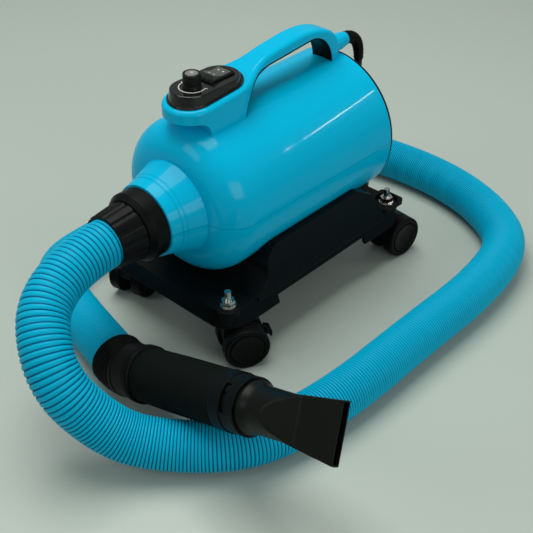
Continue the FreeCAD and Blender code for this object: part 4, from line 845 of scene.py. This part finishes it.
@dataclass
class AirHose:
    """The ribbed hose from the cuff round the machine to the hand wand.

    Pitches are stops of distance and rib spacing, which is wide where the hose's weight stretches it.
    """

    crest: float = 0.025
    root: float = 0.0236
    crests: Spot = (0.3, 0.7)
    least_pitch: float = 0.0005
    sides: int = 32
    pitches: Spots = (
        (0.0, 0.0054), (0.16, 0.0052), (0.26, 0.0036), (0.36, 0.0033), (0.85, 0.0030), (1.2, 0.0027),
    )
    points: tuple[Point, ...] = (
        (-0.2043, 0.0, 0.1575), (-0.296, 0.0, 0.1575), (-0.348, -0.06, 0.108), (-0.318, -0.105, 0.042),
        (-0.283, -0.145, 0.0255), (-0.225, -0.205, 0.0255), (-0.12, -0.223, 0.0255), (0.0, -0.221, 0.0255),
        (0.12, -0.223, 0.0255), (0.215, -0.205, 0.0255), (0.26, -0.148, 0.0255), (0.284, -0.075, 0.0255),
        (0.286, 0.01, 0.0255), (0.27, 0.085, 0.0255), (0.222, 0.135, 0.0255), (0.15, 0.157, 0.0255),
        (0.055, 0.156, 0.0255), (-0.025, 0.16, 0.0255), (-0.097, 0.166, 0.0255), (-0.185, 0.159, 0.0255),
        BEFORE_WAND, AT_WAND,
    )

    def rings(self, length: float) -> list[Point]:
        """The hose's rings, three for each rib and one at the end.

        Args:
            length: The hose's length.

        Returns:
            Distance along the hose, radius and groove depth of each.
        """
        rings = []
        distance = 0.0
        while distance < length:
            pitch = min(between(self.pitches, distance), length - distance)
            rings.append((distance, self.root, 1.0))
            rings += [(distance + share * pitch, self.crest, 0.0) for share in self.crests]
            distance += pitch if pitch > self.least_pitch else length
        rings.append((length, self.root, 1.0))
        return rings

    def build(self, tool: Object) -> None:
        """Args:
            tool: The piece of the hand wand that holds its far end. It is not used.
        """
        line = smooth_line("hose_line", self.points, 24)
        path = Path(line)
        bpy.data.objects.remove(line)
        verts: list[Vector] = []
        depths: list[float] = []
        side = Vector((0, 0, 1))
        rings = self.rings(path.length)
        for distance, radius, depth in rings:
            point, way = path.at(distance)
            side = (side - way * side.dot(way)).normalized()
            other = way.cross(side)
            for i in range(self.sides):
                angle = 2 * math.pi * i / self.sides
                verts.append(point + (side * math.cos(angle) + other * math.sin(angle)) * radius)
            depths += [depth] * self.sides
        faces = []
        for ring in range(len(rings) - 1):
            for i in range(self.sides):
                a, b = ring * self.sides + i, ring * self.sides + (i + 1) % self.sides
                faces.append((a, b, b + self.sides, a + self.sides))
        last = (len(rings) - 1) * self.sides
        faces.append(tuple(range(self.sides - 1, -1, -1)))
        faces.append(tuple(range(last, last + self.sides)))
        mesh = bpy.data.meshes.new("ribbed_hose")
        mesh.from_pydata(verts, [], faces)
        mesh.attributes.new("depth", "FLOAT", "POINT").data.foreach_set("value", depths)
        hose = linked("ribbed_hose", mesh)
        smoothed(hose, 80.0)
        dress(hose, HOSE_SKIN)
        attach(hose, DRYER)
        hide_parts("air_hose")
        LOG.info("hose line %.3f m, %d rings", path.length, len(rings))


# The mains cord


@dataclass
class MainsCord:
    """The black mains cord from its boot down behind the machine, over the hose and into its coil."""

    radius: float = 0.0045
    coil_radius: float = 0.062
    turns: float = 6.5
    step: float = 0.0096
    tail: float = 0.048
    points_per_turn: int = 16
    points: tuple[Point, ...] = (
        (0.169, 0.0, 0.2178), (0.17, 0.002, 0.152), (0.173, -0.016, 0.082), (0.178, -0.016, 0.0367),
        (0.188, 0.016, 0.0047), (0.204, 0.059, 0.0047), (0.222, 0.115, 0.062), (0.23, 0.157, 0.062),
        (0.238, 0.214, 0.0047), (0.238, 0.257, 0.0047),
    )

    def coil(self) -> list[Point]:
        """The coil's own points: flat spiral turns inward, a step up, and outward again on top.

        Returns:
            The points.
        """
        start = Vector(self.points[-1])
        centre = start + Vector((self.coil_radius, 0, 0))
        middle = self.turns / 2
        spread = 1 / math.cos(math.pi / self.points_per_turn)
        points = []
        for i in range(1, int(self.turns * self.points_per_turn) + 1):
            turn = i / self.points_per_turn
            radius = (self.coil_radius + self.step * (abs(turn - middle) - middle)) * spread
            climb = min(max((turn - middle) * 2 + 0.5, 0.0), 1.0)
            angle = math.pi - 2 * math.pi * turn
            point = centre + Vector((radius * math.cos(angle), radius * math.sin(angle), climb * self.step))
            points.append(tuple(point))
        x, y, z = points[-1]
        return [*points, (x, y - self.tail / 2, z), (x, y - self.tail, z)]

    def build(self) -> None:
        cord = smooth_line("mains_cord", (*self.points, *self.coil()), 6)
        length = Path(cord).length
        cord.data.bevel_depth = self.radius
        cord.data.bevel_resolution = 3
        cord.data.use_fill_caps = True
        dress(cord, CORD_BLACK)
        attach(cord, DRYER)
        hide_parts("power_cord", "cord_coil")
        LOG.info("mains cord %.3f m", length)


# The hand wand


@dataclass
class HandWand:
    """The wand: its bellows cuff, foam grip and slot nozzle. Distances run along it from the hose's end.

    The rib's form and the grip's edge say how far each ring lies inside the widest one.
    """

    way: Point = (0.0, -0.944, 0.329)
    bellows: float = 0.04
    bellows_ribs: int = 6
    ribbed_end: float = 0.0265
    bellows_radius: float = 0.0285
    bellows_root: float = 0.0268
    rib_form: Spots = ((0.0005, 0.25), (0.0, 0.45), (0.0005, 0.65), (0.0017, 0.92))
    bead: Spots = (
        (0.0273, 0.0004), (0.0279, 0.001), (0.0279, 0.0028), (0.0285, 0.0034), (0.0285, 0.0042), (0.0279, 0.0048),
    )
    band_end: float = 0.051
    band_steps: int = 8
    ring: Spots = ((0.0273, 0.0517), (0.0296, 0.0526), (0.0296, 0.0592), (0.0288, 0.06))
    ring_end: float = 0.06
    bore: float = 0.0215
    slit: float = 0.0003
    grip_bore: float = 0.0243
    grip_radius: float = 0.0277
    grip_edge: Spots = ((0.0016, 0.0), (0.0005, 0.0008))
    grip_step: float = 0.0022
    crown: float = 0.0005
    crown_inset: float = 0.0002
    crown_steps: int = 8
    grip_end: float = 0.18
    collar_end: float = 0.211
    spigot: float = 0.0243
    spigot_start: float = 0.1875
    lug_angles: tuple[float, ...] = (116.0, 296.0)
    lug_height: float = 0.1966
    lug_size: Point = (0.0024, 0.0068, 0.0058)
    lug_edge: float = 0.0004
    lug_out: float = 0.0002
    base_end: float = 0.2145
    base_radius: float = 0.025
    base_edge: float = 0.0005
    neck: Spots = ((0.225, 0.0219), (0.256, 0.0215), (0.314, 0.0276))
    flats: Spots = ((0.2302, 0.026), (0.271, 0.0072), (0.293, 0.0061), (0.314, 0.0048))
    nozzle_end: float = 0.314
    nozzle_steps: int = 60
    nozzle_sides: int = 96
    lip: float = 0.0006
    lip_inset: float = 0.0003
    wall: float = 0.0015
    roll: float = 55.1
    sides: int = 64

    def corner(self) -> Vector:
        """Where the line of the hose's end meets the wand's line."""
        end = Vector(AT_WAND)
        return end + (end - Vector(BEFORE_WAND)).normalized() * (self.bellows / 2)

    def start(self) -> Vector:
        """Where the straight wand starts, past the bend of the bellows."""
        return self.corner() + Vector(self.way).normalized() * (self.bellows / 2)

    def place(self) -> Matrix:
        """Where the wand lies.

        Returns:
            What takes a piece there that was made along +Z, counted from the hose's end.
        """
        way = Vector(self.way).normalized()
        across = Vector((0, 0, 1)).cross(way).normalized()
        turn = Matrix((across, way.cross(across), way)).transposed().to_4x4()
        return Matrix.Translation(self.start()) @ turn @ Matrix.Translation((0, 0, -self.bellows))

    def cuff(self) -> Object:
        """Makes the flexible cuff: round ribs, a bead, a plain band and a raised ring.

        Returns:
            The cuff.
        """
        pitch = self.ribbed_end / self.bellows_ribs
        profile = [(self.bore, 0.0), (self.bellows_root, 0.0)]
        profile += ribs(self.rib_form, self.bellows_ribs, pitch, self.bellows_radius, self.bellows_radius)
        profile += [(radius, self.ribbed_end + rise) for radius, rise in self.bead]
        band, low = profile[-1]
        step = (self.band_end - low) / self.band_steps
        profile += [(band, low + step * i) for i in range(1, self.band_steps + 1)]
        profile += [*self.ring, (self.bore, self.ring_end), (self.bore, 0.0)]
        cuff = turned("bellows_cuff", profile, self.sides, False)
        beyond = self.start() + Vector(self.way).normalized() * (self.ring_end - self.bellows)
        bent(cuff, smooth_line("bellows_line", (AT_WAND, self.corner(), self.start(), beyond), 24))
        smoothed(cuff, 50.0)
        dress(cuff, RUBBER)
        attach(cuff, DRYER)
        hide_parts("wand_cuff")
        return cuff

    def grip(self) -> None:
        """Makes the foam grip, slightly crowned, with soft ends."""
        low, high = self.ring_end + self.slit, self.grip_end - self.slit
        edge = [(self.grip_radius - inset, rise) for inset, rise in self.grip_edge]
        profile = [(self.grip_bore, low), *((radius, low + rise) for radius, rise in edge)]
        length = high - low - 2 * self.grip_step
        for i in range(self.crown_steps + 1):
            share = i / self.crown_steps
            radius = self.grip_radius - self.crown_inset + self.crown * math.sin(math.pi * share)
            profile.append((radius, low + self.grip_step + length * share))
        profile += [(radius, high - rise) for radius, rise in reversed(edge)]
        profile += [(self.grip_bore, high), (self.grip_bore, low)]
        grip = turned("foam_grip", profile, self.sides, False)
        settled(grip, self.place())
        smoothed(grip, 50.0)
        dress(grip, GRIP)
        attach(grip, DRYER)
        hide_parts("wand_grip")

    def neck_radius(self, height: float) -> float:
        """The radius of the nozzle's round form, before its flats: a flange, a neck and a flare.

        Args:
            height: The distance along the wand.

        Returns:
            The radius.
        """
        low, wide = self.neck[0]
        if height >= low:
            return between(self.neck, height)
        share = (height - self.base_end) / (low - self.base_end)
        return wide + (self.base_radius - wide) * (1 - share) ** 2

    def nozzle(self) -> None:
        """Makes the slot nozzle: a flanged neck that flares and flattens to its mouth, with an open throat."""
        low = self.collar_end + self.slit
        profile = [
            (self.bore, self.spigot_start),
            (self.spigot, self.spigot_start),
            (self.spigot, low),
            (self.base_radius - self.base_edge, low),
            (self.base_radius, low + self.base_edge),
            (self.base_radius, self.base_end - self.slit),
        ]
        span = self.nozzle_end - self.base_end
        stations = [self.base_end + span * i / self.nozzle_steps for i in range(self.nozzle_steps)]
        stations += [self.nozzle_end - self.lip, self.nozzle_end]
        outer = [(self.neck_radius(height), height) for height in stations]
        profile += outer
        profile += [(radius - self.wall, height) for radius, height in reversed(outer)]
        profile += [(self.bore, self.base_end - self.base_edge), (self.bore, self.spigot_start)]
        nozzle = turned("slot_nozzle", profile, self.nozzle_sides, False)
        self.flatten(nozzle)
        outward(nozzle)
        settled(nozzle, self.place())
        smoothed(nozzle, 24.0)
        nozzle = joined("slot_nozzle", [nozzle, *self.lugs()], NOZZLE_BLACK, "nozzle")
        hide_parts("flat_nozzle")

    def lugs(self) -> list[Object]:
        """Makes the two lugs that hold the nozzle in the collar's slots.

        Returns:
            The lugs.
        """
        shift = Matrix.Translation((self.spigot + self.lug_out, 0, self.lug_height))
        made = []
        for angle in self.lug_angles:
            turn = Matrix.Rotation(math.radians(angle), 4, "Z")
            made.append(settled(bar("nozzle_lug", self.lug_size, self.lug_edge), self.place() @ turn @ shift))
        return made

    def flatten(self, nozzle: Object) -> None:
        """Cuts the flared part flat on two sides, towards its mouth.

        Args:
            nozzle: The round nozzle, still along +Z.
        """
        angle = math.radians(self.roll - 90)
        thin = Vector((math.cos(angle), math.sin(angle), 0))
        for point in nozzle.data.vertices:
            height = point.co.z
            if height <= self.flats[0][0]:
                continue
            radius = math.hypot(point.co.x, point.co.y)
            inner = radius < self.neck_radius(height) - self.wall / 2
            limit = between(self.flats, height) - (self.wall if inner else 0.0)
            if height > self.nozzle_end - self.lip / 2 and not inner:
                limit -= self.lip_inset
            depth = point.co.dot(thin)
            point.co += thin * (math.copysign(min(abs(depth), limit), depth) - depth)

    def build(self) -> Object:
        """Makes the wand's pieces.

        Returns:
            The cuff, which holds the hose.
        """
        cuff = self.cuff()
        self.grip()
        self.nozzle()
        return cuff


# Controls and casing


@dataclass
class Controls:
    """What the control panel shows: the speed scale, the knob's cap and the rocker's dots.

    The cap's form says how far each ring lies inside its radius and below its top.
    """

    knob: Point = (-0.0945, 0.0, 0.2795)
    cap_radius: float = 0.0065
    cap_form: Spots = (
        (0.0, 0.0002), (0.0002, 0.0), (0.0012, 0.0), (0.0016, 0.0006), (0.0026, 0.0007), (0.0029, 0.0004),
        (0.0033, 0.0007), (0.0059, 0.0009),
    )
    scale_radius: float = 0.0134
    scale_width: float = 0.0011
    scale_from: float = 90.0
    scale_span: float = 206.0
    lift: float = 0.0002
    tick: Spot = (0.0032, 0.001)
    tick_out: float = 0.001
    rocker: Point = (-0.062, 0.0, 0.277)
    rocker_tip: float = 8.0
    rocker_waist: float = 0.0052
    rocker_rise: float = 0.0022
    rocker_half: float = 0.012
    dot: float = 0.0009
    dot_rise: float = 0.0003
    dot_places: Spot = (0.0032, 0.0066)

    def scale(self) -> None:
        """Makes the pale arc round the knob."""
        inner = self.scale_radius - self.scale_width / 2
        outer = self.scale_radius + self.scale_width / 2
        profile = [(outer, 0.0), (outer, self.lift), (inner, self.lift), (inner, 0.0), (outer, 0.0)]
        arc = turned("speed_scale", profile, 180, False)

        def beyond(middle: Vector) -> bool:
            """Whether a place lies outside the arc's span."""
            return (math.degrees(math.atan2(middle.y, middle.x)) - self.scale_from) % 360 > self.scale_span

        without(arc, beyond)
        settled(arc, Matrix.Translation(self.knob))
        dress(arc, PRINT)
        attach(arc, DRYER)

    def ticks(self) -> None:
        """Makes the tick at each end of the arc."""
        middle = Matrix.Translation((self.knob[0], 0, self.knob[2] + self.lift / 2))
        outward_step = Matrix.Translation((self.scale_radius + self.tick_out, 0, 0))
        for name, angle in (("scale_start", self.scale_from), ("scale_end", self.scale_from + self.scale_span)):
            tick = bar(name, (*self.tick, self.lift), self.lift)
            settled(tick, middle @ Matrix.Rotation(math.radians(angle), 4, "Z") @ outward_step)
            dress(tick, PRINT)
            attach(tick, DRYER)

    def dots(self) -> None:
        """Makes the rocker's four dots, two on each half of its face."""
        tilt = Matrix.Translation(self.rocker) @ Matrix.Rotation(math.radians(self.rocker_tip), 4, "Y")
        across, out = self.dot_places
        slope = math.atan2(self.rocker_rise, self.rocker_half)
        height = self.rocker_waist + out * math.tan(slope)
        made = []
        for end, side in product((-1, 1), repeat=2):
            dot = bar("rocker_dot", (2 * self.dot, 2 * self.dot, self.dot_rise), self.dot)
            face = Matrix.Translation((end * out, side * across, height))
            settled(dot, tilt @ face @ Matrix.Rotation(-end * slope, 4, "Y"))
            made.append(dot)
        joined("rocker_dots", made, PRINT, "rocker")

    def cap(self) -> None:
        """Makes the knob's dished cap, with its bright rim and a ridge inside."""
        low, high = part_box("knob_cap")
        top = high.z - low.z
        profile = [(self.cap_radius, 0.0), *((self.cap_radius - inset, top - drop) for inset, drop in self.cap_form)]
        cap = turned("dished_cap", profile, 64, True)
        settled(cap, Matrix.Translation((self.knob[0], 0, low.z)))
        smoothed(cap, 35.0)
        dress(cap, CAP_GREY)
        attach(cap, "knob")
        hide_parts("knob_cap")

    def build(self) -> None:
        """Makes the marks and the knob's cap."""
        for make in (self.scale, self.ticks, self.dots, self.cap):
            make()


def bar(name: str, size: Point, edge: float) -> Object:
    """A small bar about the origin with rounded edges.

    Args:
        name: The bar's name.
        size: Its size along each axis.
        edge: The width of the rounding, where the bar is thick enough.

    Returns:
        The bar.
    """
    deselect()
    bpy.ops.mesh.primitive_cube_add(size=1)
    piece = bpy.context.object
    piece.name = name
    piece.scale = size
    settled(piece)
    width = min(edge, min(size) * 0.45)
    modified(piece, "BEVEL", width=width, segments=3, limit_method="NONE")
    smoothed(piece, 50.0)
    return piece


def joined(name: str, pieces: Sequence[Object], finish: Finish, body: str) -> Object:
    """Joins pieces into one, dresses it and lets it ride on a body.

    Args:
        name: The whole's name.
        pieces: The pieces.
        finish: The whole's finish.
        body: The body that it moves with.

    Returns:
        The whole.
    """
    pick(*pieces)
    bpy.ops.object.join()
    whole = bpy.context.object
    whole.name = name
    dress(whole, finish)
    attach(whole, body)
    return whole


@dataclass
class HubCaps:
    """The plain covers on the wheels' outer faces."""

    face: float = 0.0217
    depth: float = 0.0021
    profile: Spots = (
        (0.0184, 0.0), (0.0184, 0.0015), (0.0178, 0.0021), (0.0154, 0.002), (0.0148, 0.0017), (0.004, 0.0018),
    )

    def cap(self, body: str, middle: Vector, way: Vector) -> None:
        """Makes one cover.

        Args:
            body: The wheel's body.
            middle: The point on its axle midway between the caster's two wheels.
            way: The direction out along the axle.
        """
        cap = turned(body.replace("wheel", "hub_cap"), self.profile, 48, True)
        turn = way.to_track_quat("Z", "Y").to_matrix().to_4x4()
        settled(cap, Matrix.Translation(middle + way * (self.face - self.depth)) @ turn)
        smoothed(cap, 35.0)
        dress(cap, RUBBER)
        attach(cap, body)

    def build(self) -> None:
        """Makes a cover for each wheel, from the joints it turns on."""
        for joint in frame["record"]["behaviour"]["joints"]:
            body = joint["child"]
            if body.startswith("wheel_"):
                side = -1 if body.endswith("_a") else 1
                self.cap(body, Vector(joint["pos_m"]), Vector(joint["axis"]) * side)


@dataclass
class HandleLining:
    """The black lining of the finger gap, whose edge shows as a thin line under the handle."""

    thickness: float = 0.0013
    overlap: float = 0.0002
    wide: float = 0.03
    slim: float = 0.0135
    taper: Spot = (-0.06, 0.005)
    inset: float = -0.0002

    def outline(self) -> list[Spot]:
        """The gap's edge seen from the side, from the pod's foot over the top to the rear leg.

        Returns:
            Its points, in X and Z.
        """
        points = [(-0.049, 0.2378), (-0.049, 0.238)]
        points += bow(points[-1], (-0.0465, 0.2485), (-0.041, 0.2575), 8)
        points += bow(points[-1], (-0.0315, 0.2672), (-0.017, 0.2723), 10)
        points += [(-0.017 + 0.081 * i / 20, 0.2723 + 0.006 * i / 20) for i in range(1, 21)]
        points += bow(points[-1], (0.081, 0.2762), (0.093, 0.268), 10)
        points += bow(points[-1], (0.1005, 0.257), (0.104, 0.243), 8)
        points.append((0.104, 0.2416))
        return points

    def half(self, x: float) -> float:
        """Half the handle's width at a place along it."""
        share = min(max((x - self.taper[0]) / (self.taper[1] - self.taper[0]), 0.0), 1.0)
        return self.wide + (self.slim - self.wide) * share * share * (3 - 2 * share) - self.inset

    def build(self) -> None:
        """Makes the lining: a strip laid along the gap's edge, and given its thickness into the gap."""
        points = self.outline()
        deselect()
        bpy.ops.mesh.primitive_grid_add(x_subdivisions=len(points) - 1, y_subdivisions=6, size=1)
        lining = bpy.context.object
        lining.name = "gap_lining"
        for point in lining.data.vertices:
            index = round((point.co.x + 0.5) * (len(points) - 1))
            before, after = points[max(index - 1, 0)], points[min(index + 1, len(points) - 1)]
            along = Vector((after[0] - before[0], 0, after[1] - before[1])).normalized()
            into_gap = Vector((along.z, 0, -along.x))
            x, z = points[index]
            across = 2 * point.co.y * self.half(x)
            point.co = Vector((x, across, z)) + into_gap * (self.thickness / 2 - self.overlap / 2)
        modified(lining, "SOLIDIFY", thickness=self.thickness + self.overlap, offset=0)
        outward(lining)
        smoothed(lining, 40.0)
        dress(lining, BLACK_SATIN)
        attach(lining, DRYER)
        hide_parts("handle_liner")


@dataclass
class Intake:
    """The foam pad behind the intake grille.

    Its edge says how far the rounding goes in and along.
    """

    axis_z: float = 0.1575
    radius: float = 0.0788
    edge: Spot = (0.001, 0.0008)
    rim: float = 0.02
    middle: float = 0.002

    def build(self) -> None:
        """Makes the pad with soft edges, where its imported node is."""
        low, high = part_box("intake_filter")
        depth = high.x - low.x
        inset, rise = self.edge
        profile = [
            (self.radius - inset, 0.0),
            (self.radius, rise),
            (self.radius, depth - rise),
            (self.radius - inset, depth),
            (self.radius - self.rim, depth),
            (self.middle, depth),
        ]
        pad = turned("filter_pad", profile, 72, True)
        settled(pad, Matrix.Translation((low.x, 0, self.axis_z)) @ Matrix.Rotation(math.radians(90), 4, "Y"))
        smoothed(pad, 40.0)
        dress(pad, FILTER)
        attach(pad, DRYER)
        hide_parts("intake_filter")


@dataclass
class StrainRelief:
    """The ribbed rubber boot that leads the cord out of its gland and down."""

    gland_end: float = 0.141
    gland_z: float = 0.2525
    bend: float = 0.028
    lead: float = 0.012
    tail: float = 0.0065
    start_radius: float = 0.0076
    end_radius: float = 0.0056
    end_inset: float = 0.0004
    ribs: int = 11
    rib_form: Spots = ((0.0, 0.12), (0.0, 0.58), (0.0008, 0.68), (0.0008, 0.92))

    def build(self) -> None:
        """Makes the boot."""
        x, z, bend = self.gland_end, self.gland_z, self.bend
        points = (
            (x, 0.0, z),
            (x + self.lead, 0.0, z),
            (x + bend, 0.0, z - bend + self.lead),
            (x + bend, 0.0, z - bend - self.tail),
        )
        line = smooth_line("boot_line", points, 24)
        length = Path(line).length
        profile = [(self.start_radius, 0.0)]
        profile += ribs(self.rib_form, self.ribs, length / self.ribs, self.start_radius, self.end_radius)
        profile.append((self.end_radius - self.end_inset, length))
        boot = turned("ribbed_boot", profile, 32, True)
        bent(boot, line)
        smoothed(boot, 50.0)
        dress(boot, RUBBER)
        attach(boot, DRYER)
        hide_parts("cord_boot")


def main() -> None:
    """Builds the studio, the cords and the dressed pieces, in order."""
    logging.basicConfig(level=logging.INFO)
    bpy.context.scene.view_settings.view_transform = "Standard"
    Studio().build()
    MainsCord().build()
    AirHose().build(HandWand().build())
    dress_packed()
    Controls().build()
    Intake().build()
    StrainRelief().build()
    HubCaps().build()
    HandleLining().build()


if __name__ == "__main__":
    main()
